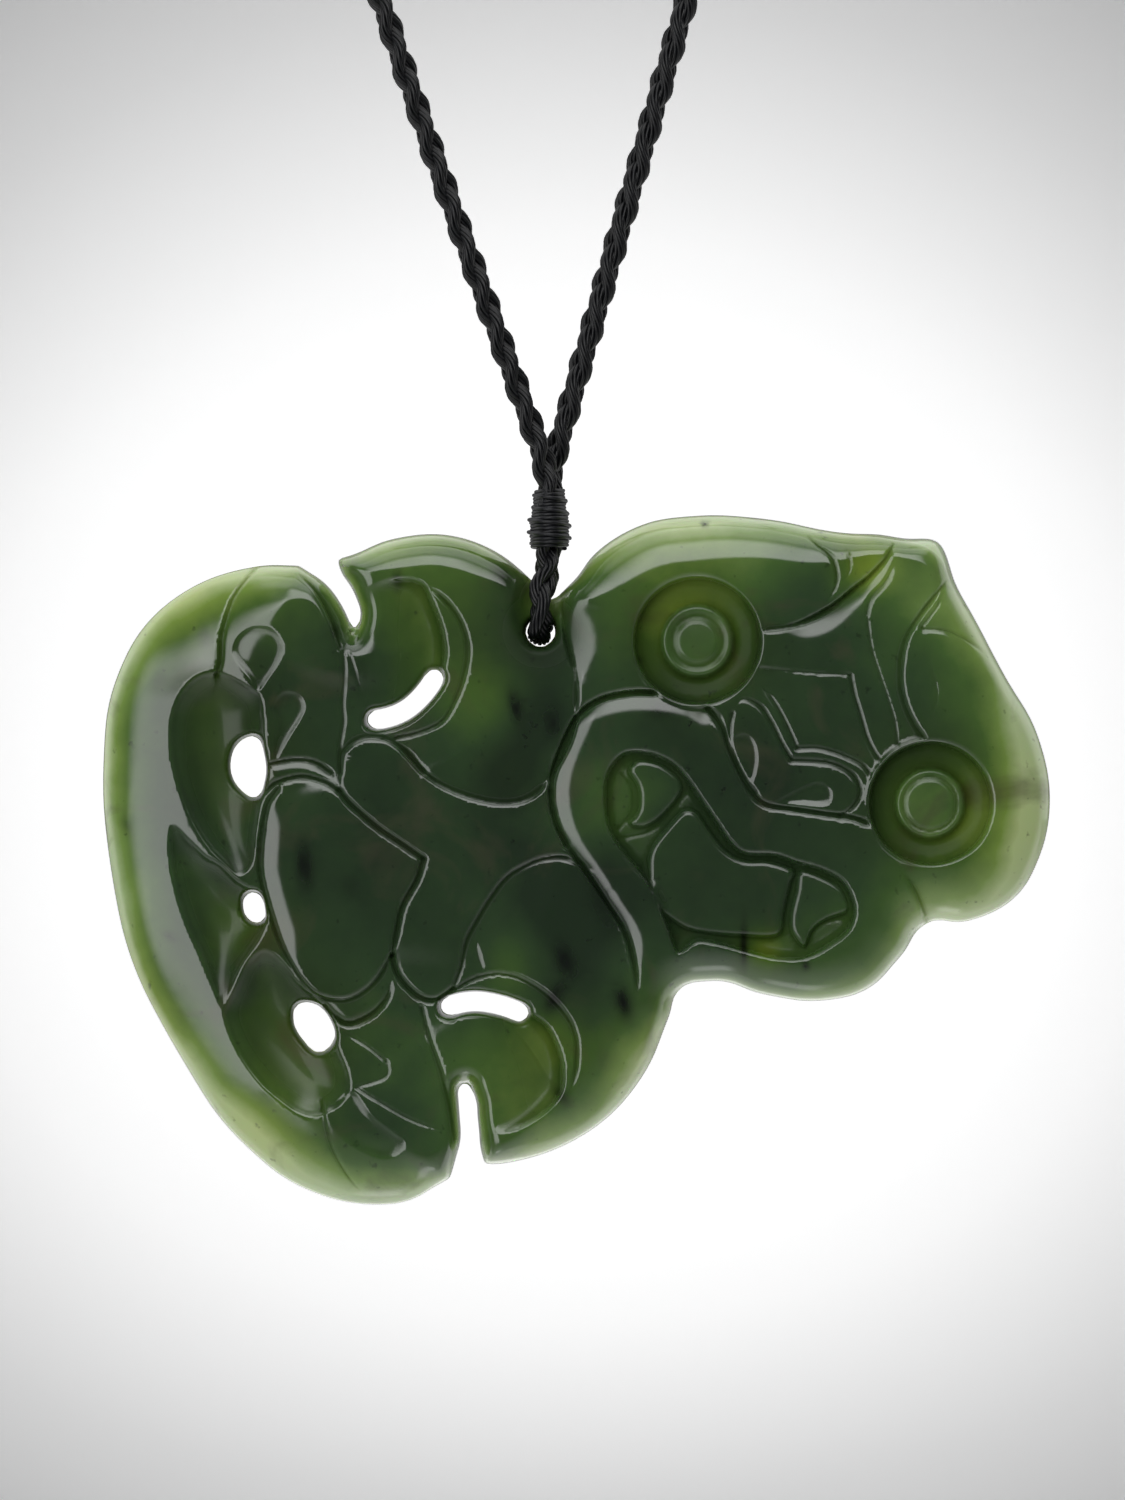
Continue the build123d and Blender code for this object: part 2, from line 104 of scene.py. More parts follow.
# Cut lines: depth in mm, whether the form on the left and on the right of the line's way is sunk to the cut's
# depth and rises slowly from there (otherwise it ends in a steep wall), whether the line fades out at its
# start and at its end, and its points
LINES = [
    (0.5, 0, 1, 0, 0, [(17.4, 94.0), (15.3, 90.9), (13.9, 88.4), (13.1, 85.6), (12.5, 82.3), (12.4, 79.0),
                       (12.0, 76.6)]),
    (0.18, 0, 0, 1, 0, [(26.3, 84.2), (25.6, 80.4), (25.6, 77.6), (25.4, 72.6), (25.5, 69.9), (25.1, 66.6),
                        (25.0, 63.4), (25.1, 60.2)]),
    (0.55, 0, 1, 0, 1, [(25.2, 80.8), (24.2, 84.6), (22.9, 88.2), (21.2, 90.8), (19.4, 92.6)]),
    (0.15, 0, 0, 1, 0, [(27.4, 73.5), (26.8, 76.8), (26.0, 80.2)]),
    (0.55, 1, 0, 0, 0, [(25.1, 62.6), (25.3, 65.4), (26.3, 67.0), (27.9, 67.9), (29.6, 67.8), (31.3, 66.8),
                        (32.5, 64.9), (34.0, 62.8)]),
    (0.55, 1, 0, 1, 0, [(29.4, 67.9), (32.0, 65.8), (34.0, 62.8), (36.3, 60.7), (38.5, 59.4), (40.8, 58.6),
                        (42.9, 58.4), (44.9, 59.1), (46.5, 60.8), (47.6, 63.0), (48.5, 65.6)]),
    (0.5, 1, 0, 0, 0, [(48.1, 64.2), (49.3, 67.4), (49.9, 71.6), (49.9, 75.6), (49.2, 79.6), (48.6, 83.4),
                       (48.4, 87.6)]),
    (0.5, 1, 0, 0, 1, [(31.0, 67.8), (33.6, 68.7), (35.8, 70.2), (37.1, 73.0), (38.1, 76.7), (38.5, 80.4),
                       (38.0, 83.7), (36.8, 86.5), (35.4, 88.4), (33.7, 90.0)]),
    (0.3, 0, 0, 0, 0, [(17.5, 63.9), (19.3, 64.4), (21.0, 64.6), (22.7, 64.1), (24.3, 62.6)]),
    (0.45, 0, 0, 0, 0, [(17.3, 60.0), (18.4, 61.2), (21.0, 62.1), (23.4, 61.4), (25.1, 60.0)]),
    (0.55, 0, 0, 0, 0, [(25.1, 60.0), (26.1, 58.3), (27.8, 56.2), (29.6, 54.2), (31.7, 52.3), (33.9, 50.2)]),
    (0.55, 0, 0, 0, 0, [(33.9, 50.2), (33.3, 47.4), (32.4, 45.2), (31.6, 43.0), (31.1, 39.7), (30.6, 36.2)]),
    (0.6, 0, 1, 0, 0, [(18.6, 60.6), (17.4, 58.0), (16.8, 54.3), (16.5, 50.1), (16.7, 47.2), (17.5, 43.0),
                       (18.5, 38.8), (19.7, 35.5), (21.0, 32.7), (22.4, 30.7), (24.1, 29.8), (26.1, 29.9),
                       (27.8, 31.1), (29.2, 33.1), (30.6, 36.2)]),
    (0.6, 0, 0, 0, 0, [(30.6, 36.2), (31.1, 33.7), (32.4, 31.4), (33.8, 30.0), (35.4, 29.9), (37.0, 31.4)]),
    (0.5, 0, 1, 0, 1, [(37.0, 31.0), (37.9, 34.6), (38.4, 38.3), (39.5, 41.3), (41.1, 44.9), (42.8, 47.7),
                       (44.8, 49.3), (46.5, 50.2), (48.6, 50.4), (50.2, 49.6), (52.2, 48.2)]),
    (0.14, 0, 0, 1, 1, [(39.4, 39.0), (39.6, 36.5), (40.4, 33.4)]),
    (0.45, 0, 0, 0, 1, [(23.4, 29.0), (24.6, 27.3), (26.1, 26.3), (28.5, 27.7), (30.1, 30.2), (30.6, 33.4)]),
    (0.5, 0, 1, 0, 1, [(37.2, 31.2), (39.1, 32.7), (41.4, 33.5), (43.8, 33.0), (46.5, 30.9), (48.6, 28.1),
                       (49.7, 25.3), (50.0, 22.0), (49.7, 18.3), (48.9, 15.6)]),
    (0.15, 0, 0, 1, 1, [(42.8, 26.4), (44.5, 23.9), (45.9, 21.1), (46.9, 18.7), (47.9, 16.4)]),
    (0.45, 0, 1, 0, 0, [(33.6, 28.8), (34.3, 24.8), (35.3, 21.1), (36.2, 17.3), (36.8, 14.1), (37.2, 9.6)]),
    (0.16, 0, 0, 0, 1, [(26.8, 17.3), (29.5, 15.0), (32.3, 12.8), (35.0, 11.4), (37.2, 11.0)]),
    (0.14, 0, 0, 1, 0, [(24.9, 25.6), (27.8, 23.4), (30.0, 21.0)]),
    (0.14, 0, 0, 0, 0, [(30.0, 21.0), (30.1, 19.0), (28.5, 18.0), (27.0, 17.4)]),
    (0.4, 0, 1, 0, 1, [(23.1, 15.4), (23.6, 11.6), (24.6, 7.6), (26.4, 3.4), (28.6, 0.6)]),
    (0.6, 0, 0, 0, 0, [(58.4, 74.3), (55.6, 74.3), (52.6, 73.4), (50.4, 71.4), (48.9, 68.0), (47.5, 63.0),
                       (47.2, 58.9), (47.8, 55.2), (48.9, 52.1)]),
    (0.6, 0, 1, 1, 1, [(48.6, 52.8), (50.8, 48.5), (53.1, 43.8), (55.0, 39.6), (56.0, 34.9), (56.6, 29.4)]),
    (0.55, 0, 0, 0, 0, [(58.0, 74.3), (61.0, 73.8), (63.4, 72.4), (65.2, 69.4), (66.0, 66.2), (67.0, 63.0),
                        (68.2, 60.2), (69.8, 58.1), (72.8, 57.4), (76.2, 56.7), (79.2, 56.1), (81.8, 54.6)]),
    (0.2, 0, 1, 0, 0, [(68.6, 77.9), (69.9, 77.7), (73.2, 77.2), (76.0, 76.9), (78.8, 76.8)]),
    (0.24, 0, 0, 0, 0, [(78.8, 76.8), (79.2, 74.0), (79.9, 70.8), (80.6, 67.6), (81.6, 65.0), (82.6, 63.2)]),
    (0.22, 0, 0, 1, 0, [(68.6, 76.2), (70.2, 74.0), (71.5, 71.2), (72.5, 68.4), (73.2, 66.2)]),
    (0.22, 0, 0, 0, 0, [(73.2, 66.2), (75.6, 66.2), (78.4, 65.0), (80.4, 63.4), (81.4, 60.6)]),
    (0.3, 0, 0, 1, 0, [(66.4, 71.4), (67.4, 73.3), (69.3, 72.3), (70.6, 69.6), (71.6, 66.8), (72.6, 64.5)]),
    (0.3, 0, 0, 0, 0, [(72.6, 64.5), (76.2, 64.2), (78.1, 63.3), (79.4, 61.8), (79.8, 59.6), (78.9, 57.6),
                       (77.6, 56.3)]),
    (0.26, 0, 0, 0, 0, [(66.4, 71.4), (66.1, 69.0), (66.5, 65.6), (67.4, 62.6), (68.9, 59.6)]),
    (0.5, 1, 0, 0, 1, [(69.7, 83.3), (71.8, 83.7), (74.0, 84.7), (76.8, 86.8), (79.2, 89.4), (81.0, 91.4),
                       (82.4, 93.4), (83.2, 95.4), (83.7, 98.2)]),
    (0.4, 0, 1, 1, 1, [(73.6, 99.0), (74.7, 96.2), (76.4, 94.2), (77.1, 92.4), (77.2, 89.8), (75.8, 86.3)]),
    (0.15, 0, 0, 1, 1, [(77.9, 96.6), (78.5, 94.4), (78.7, 92.0), (77.7, 89.4)]),
    (0.2, 0, 0, 1, 0, [(83.6, 93.4), (82.6, 90.4), (81.0, 87.9), (80.5, 85.6)]),
    (0.15, 0, 0, 0, 0, [(80.5, 85.6), (81.0, 80.8), (81.9, 76.8), (82.8, 73.2), (83.5, 69.8), (83.8, 65.9)]),
    (0.6, 0, 1, 1, 0, [(89.4, 91.4), (88.0, 88.8), (86.6, 86.4), (85.2, 83.6), (84.3, 80.6), (84.0, 76.4),
                       (84.4, 73.0), (85.4, 69.8), (87.0, 66.6)]),
    (0.3, 1, 0, 0, 1, [(86.2, 83.5), (88.2, 83.4), (89.8, 82.7), (91.6, 81.3), (94.8, 78.4)]),
    (0.3, 0, 1, 0, 1, [(86.2, 83.5), (87.3, 85.4), (88.3, 87.6), (89.2, 91.6)]),
    (0.12, 0, 0, 1, 1, [(86.9, 80.4), (87.5, 77.0), (87.9, 73.4), (87.1, 69.4)]),
    (0.4, 0, 1, 0, 1, [(87.2, 40.2), (86.2, 43.6), (85.2, 46.6), (83.5, 49.2)]),
    (0.2, 0, 0, 0, 0, [(54.7, 62.6), (55.8, 60.2), (55.8, 57.2), (54.3, 54.4)]),
    (0.2, 0, 0, 0, 0, [(54.3, 53.2), (57.3, 54.0), (59.3, 55.9), (60.7, 58.2), (61.9, 60.6)]),
    (0.2, 0, 0, 0, 0, [(74.2, 36.8), (74.7, 39.4), (76.2, 41.1), (78.6, 41.8)]),
]

# Edges that are rounded on one side: fall in mm, reach in mm on the right of the line's way, whether the
# rounding fades out at its start and at its end, and the line's points
ROUNDED = [
    (0.75, 3.3, 1, 1, [(21.0, 32.7), (19.7, 35.5), (18.5, 38.8), (17.5, 43.0), (16.7, 47.2), (16.5, 50.1),
                       (16.8, 54.3), (17.4, 58.0), (18.6, 60.6)]),
    (0.85, 3.2, 1, 0, [(56.4, 31.0), (56.0, 34.9), (55.0, 39.6), (53.1, 43.8), (50.8, 48.5), (48.9, 52.1),
                       (47.8, 55.2), (47.2, 58.9), (47.5, 63.0), (48.9, 68.0), (50.4, 71.4), (52.6, 73.4),
                       (55.6, 74.3), (59.0, 74.3), (61.6, 73.6), (63.6, 72.2)]),
    (0.7, 3.6, 0, 1, [(12.0, 76.6), (12.4, 79.0), (12.5, 82.3), (13.1, 85.6), (13.9, 88.4), (15.3, 90.9),
                      (17.4, 94.0)]),
    (1.3, 7.0, 1, 1, [(50.2, 73.6), (49.9, 76.6), (49.2, 79.6), (48.6, 83.4), (48.4, 87.6), (49.8, 91.4)]),
    (0.35, 1.5, 0, 0, [(17.5, 63.9), (19.3, 64.4), (21.0, 64.6), (22.7, 64.1), (24.3, 62.6)]),
    (0.5, 1.5, 1, 0, [(30.6, 33.4), (30.1, 30.2), (28.5, 27.7), (26.1, 26.3), (24.6, 27.3), (23.4, 29.0)]),
    (1.4, 3.4, 1, 1, [(70.4, 83.4), (71.8, 83.7), (74.0, 84.7), (76.8, 86.8), (79.2, 89.4), (81.0, 91.4),
                      (82.4, 93.4), (83.2, 95.4)]),
]

# Hollows inside closed lines: depth in mm (less than nothing stands up), width of the wall's slope in mm, the
# way in degrees in which the floor falls from nothing to its full depth, if it does, and the points
HOLLOWS = [
    (2.5, 1.9, None, [
        (9.8, 76.0), (12.2, 77.0), (14.2, 76.0), (15.8, 74.6), (16.7, 73.6), (17.0, 70.6), (17.1, 66.0),
        (17.2, 61.2), (16.6, 57.8), (16.2, 54.0), (15.9, 50.0), (14.6, 48.0), (13.4, 49.4), (11.8, 51.6),
        (10.2, 54.8), (8.8, 59.0), (7.8, 63.6), (7.4, 68.4), (8.1, 73.0)]),
    (2.4, 1.6, None, [
        (7.5, 55.2), (9.2, 52.8), (10.9, 50.5), (12.6, 49.2), (14.0, 47.2), (15.4, 46.0), (16.9, 44.6),
        (17.2, 41.8), (16.9, 39.6), (15.3, 36.2), (14.2, 33.6), (13.4, 30.6), (12.9, 28.2), (12.1, 31.4),
        (10.6, 36.5), (9.1, 41.1), (8.0, 45.8), (7.4, 50.4)]),
    (2.5, 2.0, None, [
        (17.3, 36.9), (19.2, 34.9), (20.9, 31.9), (22.6, 30.0), (24.4, 27.0), (24.7, 23.4), (25.8, 19.6),
        (26.0, 16.6), (24.6, 14.4), (22.6, 13.2), (21.0, 13.6), (19.2, 15.2), (17.0, 17.8),
        (14.9, 21.6), (13.6, 25.4), (13.2, 28.4), (14.6, 32.4), (15.6, 35.4)]),
    (2.2, 0.5, 0, [
        (27.6, 71.6), (27.0, 76.0), (26.6, 80.0), (27.2, 85.0), (27.6, 89.0), (31.0, 90.8), (33.8, 90.0),
        (35.0, 87.0), (35.9, 83.8), (36.3, 80.4), (36.0, 77.4), (35.0, 74.4), (32.4, 71.6), (29.4, 70.4)]),
    (2.2, 0.5, 10, [
        (37.8, 29.8), (40.8, 30.2), (44.4, 28.6), (46.9, 26.2), (48.2, 22.9), (48.7, 19.6), (48.3, 16.0),
        (45.6, 12.4), (42.0, 10.6), (39.4, 12.0), (38.8, 18.0), (37.6, 24.0)]),
    (0.22, 0.2, None, [
        (14.0, 79.4), (14.2, 82.0), (15.9, 83.8), (18.0, 83.5), (19.2, 81.0), (18.7, 78.6), (17.6, 76.3),
        (16.5, 74.4), (15.8, 76.2)]),
    (0.2, 0.2, None, [
        (18.1, 72.4), (19.2, 74.3), (20.8, 74.0), (21.5, 72.2), (20.9, 70.2), (19.9, 68.0), (18.9, 65.6),
        (18.2, 63.9), (18.2, 67.0), (18.6, 69.8)]),
    (0.25, 0.3, None, [
        (26.6, 16.6), (28.5, 13.2), (30.6, 10.9), (32.0, 9.2), (31.2, 7.5), (29.5, 7.0), (27.4, 7.9),
        (25.5, 9.4), (24.4, 11.7), (23.9, 14.0), (25.2, 15.8)]),
    (1.5, 0.3, None, [
        (55.0, 65.6), (57.5, 65.7), (60.0, 64.3), (61.7, 61.8), (63.2, 58.8), (64.9, 55.4), (66.4, 52.5),
        (67.9, 51.2), (70.9, 51.0), (73.2, 49.9), (75.6, 49.0), (77.8, 47.4), (79.0, 44.8), (79.3, 42.4),
        (78.7, 40.0), (77.0, 38.0), (74.2, 35.9), (71.3, 35.7), (67.9, 36.7), (65.0, 37.8), (62.6, 38.2),
        (60.6, 36.6), (59.5, 40.1), (58.6, 43.2), (57.3, 46.9), (55.5, 50.0), (54.0, 52.7), (53.1, 55.3),
        (52.8, 60.0), (53.4, 63.4)]),
    (-0.8, 0.16, None, [
        (61.2, 57.4), (59.4, 54.9), (57.9, 52.2), (57.4, 49.4), (58.0, 45.3), (59.2, 42.3), (61.2, 40.2),
        (63.8, 39.3), (67.6, 38.9), (71.3, 39.1), (71.9, 42.6), (72.6, 46.6), (73.0, 48.6), (70.4, 50.0),
        (67.6, 50.2), (65.6, 51.8), (64.0, 54.6), (62.6, 57.2)]),
    (-0.6, 0.14, None, [
        (73.6, 48.6), (77.2, 46.8), (78.4, 44.6), (78.6, 42.6), (76.6, 41.5), (75.0, 40.0), (74.0, 37.4),
        (72.6, 39.4), (72.4, 42.0), (73.0, 45.6)]),
    (-0.6, 0.14, None, [
        (56.6, 64.6), (59.4, 63.6), (61.2, 60.6), (59.2, 56.6), (57.2, 54.8), (55.4, 55.2), (56.4, 57.2),
        (56.4, 60.4), (55.4, 63.0)]),
    (0.14, 0.2, None, [
        (66.5, 67.8), (67.8, 68.4), (68.8, 67.0), (69.1, 64.2), (68.4, 61.0), (67.4, 62.6), (66.7, 65.2)]),
    (0.14, 0.2, None, [
        (70.8, 58.2), (72.8, 60.0), (75.4, 61.4), (76.9, 60.0), (76.4, 58.0), (73.6, 58.0)]),
]

# Eyes: place, radius of the socket, outer radius of the ring, radius of the pupil, all in mm
EYES = [
    (62.7, 81.7, 6.4, 3.65, 1.9),
    (87.2, 58.2, 6.2, 3.5, 2.4),
]

# Dark flecks in the stone: place, half length and half width in mm, lean from upright in degrees, strength
FLECKS = [
    (21.4, 49.1, 2.2, 0.8, 5, 1.0), (43.6, 72.2, 1.7, 0.6, 12, 1.0), (47.4, 70.1, 1.3, 0.6, 8, 0.9),
    (48.8, 35.5, 1.6, 0.9, 20, 1.0), (47.8, 30.3, 1.6, 0.8, -30, 1.0), (54.9, 29.6, 1.8, 0.8, 15, 1.0),
    (67.6, 37.7, 2.2, 0.4, 0, 1.0), (74.1, 34.8, 0.5, 0.4, 0, 0.9), (63.5, 98.6, 0.35, 0.3, 0, 1.0),
    (42.2, 91.0, 1.6, 0.9, 30, 0.7), (31.2, 90.5, 1.2, 0.5, 0, 0.6), (58.9, 71.8, 1.6, 0.9, -70, 0.6),
    (48.4, 16.0, 1.2, 0.7, 40, 0.7), (24.6, 83.0, 0.7, 0.4, 0, 0.5), (7.2, 39.0, 0.8, 0.5, 60, 0.6),
    (52.8, 44.0, 3.0, 1.2, 20, 0.5), (56.6, 78.9, 0.5, 0.4, 0, 0.5), (26.0, 46.0, 1.0, 0.8, 0, 0.3),
    (2.6, 55.0, 1.0, 0.5, 30, 0.4), (6.0, 76.0, 1.2, 0.7, -30, 0.4), (11.0, 82.0, 1.0, 0.6, 20, 0.4),
]

# Corners of the outline that are drawn out to a point: place, reach in mm, way in mm to the right and up
CORNERS = [(87.8, 95.2, 2.2, 0.5, 0.9)]

# Where the stone is lighter or darker than its thickness says, partly its own tone and partly painted glow of
# light through it, painted sheen and painted shade, and where it is yellower: place, reach in mm, shift to
# light, shift to yellow
TONE_AND_PAINTED_LIGHT = [
    (97.5, 56, 9, 0.42, 0.25), (92, 44, 5, 0.0, 0.1), (81.5, 79, 3.5, 0.15, -0.3), (92, 86, 5, 0.3, 0.2),
    (79, 95, 3, 0.0, 0.4), (86, 86, 5, 0.1, -0.2), (0, 66, 7, 0, 0.2), (6, 30, 8, 0.0, 0.3),
    (9, 86, 6, 0.1, 0.4), (18, 86, 6, 0.22, 0.3), (32, 88, 7, 0.22, 0.3), (40, 88, 6, 0.12, 0.3),
    (48, 24, 3.5, 0.25, 0.6), (42, 21, 5, 0.1, 0.2), (57, 23, 6, 0.4, 0.3), (16, 40, 4, 0.1, 0.8),
    (21, 24, 6, 0.05, 0.8), (14, 64, 5, 0.0, 0.7), (12, 76, 4, 0.1, 0.7), (62.7, 81.7, 6, 0.0, 0.9),
    (87.2, 58.2, 6, -0.1, 0.9), (60.0, 84.6, 2.5, 0.12, 0), (66, 78.6, 3, 0.1, 0),
    (90.4, 54.8, 2.2, 0.12, 0), (84.6, 53.6, 2.5, 0.05, 0), (52, 63, 3.5, 0.2, 0), (72, 62, 5, -0.12, 0),
    (80.8, 92, 3, 0.3, 0.8), (69.8, 37.0, 2.4, 0.35, 1.0), (60, 92, 8, 0.35, 0.3),
    (52, 82, 5, 0.15, 0.1), (50, 36, 6, -0.12, 0), (18, 12, 6, 0.15, 0.4), (33, 6, 5, 0, -0.2),
    (34, 24, 6, 0.1, 0), (40, 76, 5, 0.15, 0.4), (54, 74, 5, 0.15, 0), (82, 50, 6, 0.08, 0),
    (52, 56, 5, 0.22, 0.1), (56, 36, 4, 0.15, 0), (88, 72, 5, 0.1, 0.1), (84, 88, 5, 0.2, 0),
    (20, 66, 4, 0.05, 0.1), (4, 28, 5, -0.12, 0.3), (30, 5, 6, 0.12, 0), (69.5, 91.5, 4, 0.25, -0.2),
    (77, 34, 5, 0.25, 0.1), (43, 33, 3, 0.2, 0.2), (44, 12, 5, 0.25, 0.2), (27, 77, 3, -0.2, 0),
    (48, 80, 4, -0.2, -0.1), (27, 20, 4, 0.15, 0), (39.8, 72, 4, 0.2, 0), (42.6, 62.6, 3.5, -0.3, 0.2),
    (46.6, 70.7, 3, -0.3, 0), (50.7, 44.5, 5, -0.35, 0), (43.6, 37.6, 3.5, 0.25, 0.1),
    (20, 57, 3, 0.15, 0), (27, 34, 5, 0.1, 0), (57, 62, 4, 0.15, 0),
]

# Heights in mm from the stone's middle plane to its front and back, to the bridge that the cord passes over,
# and to the faces of the slab that the skin starts from
FRONT = (HANG.y - STONE_LOW.y) / MM
BACK = (STONE_HIGH.y - HANG.y) / MM
BRIDGE = 2.1
SLAB = 2.6

# The dished saddle above the hole: how far above the hole its middle is, and its half width and half height
SADDLE_RISE = 2.4
SADDLE_WIDE = 2.4
SADDLE_HIGH = 3.4

# Round-over in mm at the lips of the openings, and the widest band over which points are drawn in at an edge
LIP = 0.5
SPREAD = 3.0

# How far in mm from the outline and from the openings the distance to them is worked out
OUTLINE_REACH = 14.0
OPENING_REACH = 4.0

# A cut's steep wall in mm: its least width, and what the cut's depth adds to it. How fast a sunk side rises.
CUT_WALL = 0.13
WALL_SHARE = 0.32
SUNK_SLOPE = 0.045

# The back's round-over and its marks in the stone as shares of the front's, and how far in mm behind the
# middle plane the back begins
BACK_SHARE = 0.62
BACK_MARKS = 0.4
BACK_EDGE = 2.0

# How far in from the rim light glows through the stone in mm, and the thickness in mm that counts as full
GLOW_REACH = 5.5
FULL_THICKNESS = 8.0

# Sizes of the patterns in the stone and the thread, whose fibres are drawn as coarse as they need to show
CLOUD = 13.3 * MM
WISP = 3.0 * MM
VEIL = 10.5 * MM
SPECK = 1.1 * MM
RIPPLE = 1.4 * MM
FIBRE = 0.38 * MM

# The studio in metres: height of the floor, its front edge, the wall's distance, and the middles of the two
# painted pools of light on them
FLOOR = -0.62
FLOOR_FRONT = 0.3
WALL_BACK = 3.2
WALL_GLOW = (HANG.x + 0.002, WALL_BACK, HANG.z - 0.05)
FLOOR_GLOW = (HANG.x, HANG.y + 0.1, FLOOR)


def linear(colour):
    """Linear RGBA of an sRGB hex string such as 2a5c3b."""
    channels = [int(colour[i:i + 2], 16) / 255 for i in (0, 2, 4)]
    return [c / 12.92 if c <= 0.04045 else ((c + 0.055) / 1.055) ** 2.4 for c in channels] + [1.0]


class StoneSettings(bpy.types.PropertyGroup):
    """Sizes and colours of the greenstone."""
    skin: bpy.props.FloatProperty(
        name="Skin spacing", description="Distance between the skin's points", default=0.5 * MM,
        unit="LENGTH")
    most_faces: bpy.props.IntProperty(
        name="Faces", description="Triangles that the finished skin keeps", default=192000)
    thin: bpy.props.StringProperty(
        name="Thin colour", description="Colour where light comes through", default="c9deaa")
    rim: bpy.props.StringProperty(
        name="Rim colour", description="Colour of the glowing rims", default="87a657")
    middle: bpy.props.StringProperty(
        name="Middle colour", description="Colour of the hands and sockets", default="527339")
    thick: bpy.props.StringProperty(
        name="Thick colour", description="Colour of the full thickness", default="395232")
    deep: bpy.props.StringProperty(
        name="Deep colour", description="Colour of the darkest clouds", default="283a26")
    polish: bpy.props.FloatProperty(
        name="Polish", description="Roughness of the polished face", default=0.09, min=0, max=1,
        subtype="FACTOR")


class CordSettings(bpy.types.PropertyGroup):
    """Sizes and colours of the plait and its bindings."""
    lay_length: bpy.props.FloatProperty(
        name="Lay", description="Length in which a strand of the plait comes back", default=12.6 * MM,
        unit="LENGTH")
    sway: bpy.props.FloatProperty(
        name="Sway", description="How far a strand swings to each side", default=0.78 * MM, unit="LENGTH")
    dip: bpy.props.FloatProperty(
        name="Dip", description="How far a strand swings to the front and back", default=0.5 * MM,
        unit="LENGTH")
    threads: bpy.props.IntProperty(name="Threads", description="Threads in each strand", default=8)
    thread: bpy.props.FloatProperty(
        name="Thread", description="Diameter of one waxed thread", default=0.42 * MM, unit="LENGTH")
    bundle: bpy.props.FloatProperty(
        name="Bundle", description="Radius on which a strand's threads lie", default=0.5 * MM, unit="LENGTH")
    twist: bpy.props.FloatProperty(
        name="Twist", description="Length in which a strand's threads turn once", default=9.5 * MM,
        unit="LENGTH")
    binding_thread: bpy.props.FloatProperty(
        name="Binding thread", description="Diameter of the binding's thread", default=0.4 * MM,
        unit="LENGTH")
    colour: bpy.props.StringProperty(
        name="Cord colour", description="Waxed black thread", default="0e1015")
    whipping: bpy.props.StringProperty(
        name="Binding colour", description="Thin dark thread", default="1a1c22")


class StudioSettings(bpy.types.PropertyGroup):
    """The pale studio round the pendant."""
    backdrop: bpy.props.StringProperty(name="Backdrop colour", description="Pale paper", default="f0f0f0")
    overhead: bpy.props.FloatProperty(
        name="Overhead panel", description="Brightness of the panel above the camera", default=2.2, min=0)
    side: bpy.props.FloatProperty(
        name="Left panel", description="Brightness of the panel to the camera's left", default=1.7, min=0)
    low: bpy.props.FloatProperty(
        name="Low panel", description="Brightness of the panel below the camera", default=1.0, min=0)
    distance: bpy.props.FloatProperty(
        name="Camera distance", description="From the camera to the stone", default=0.9, unit="LENGTH")


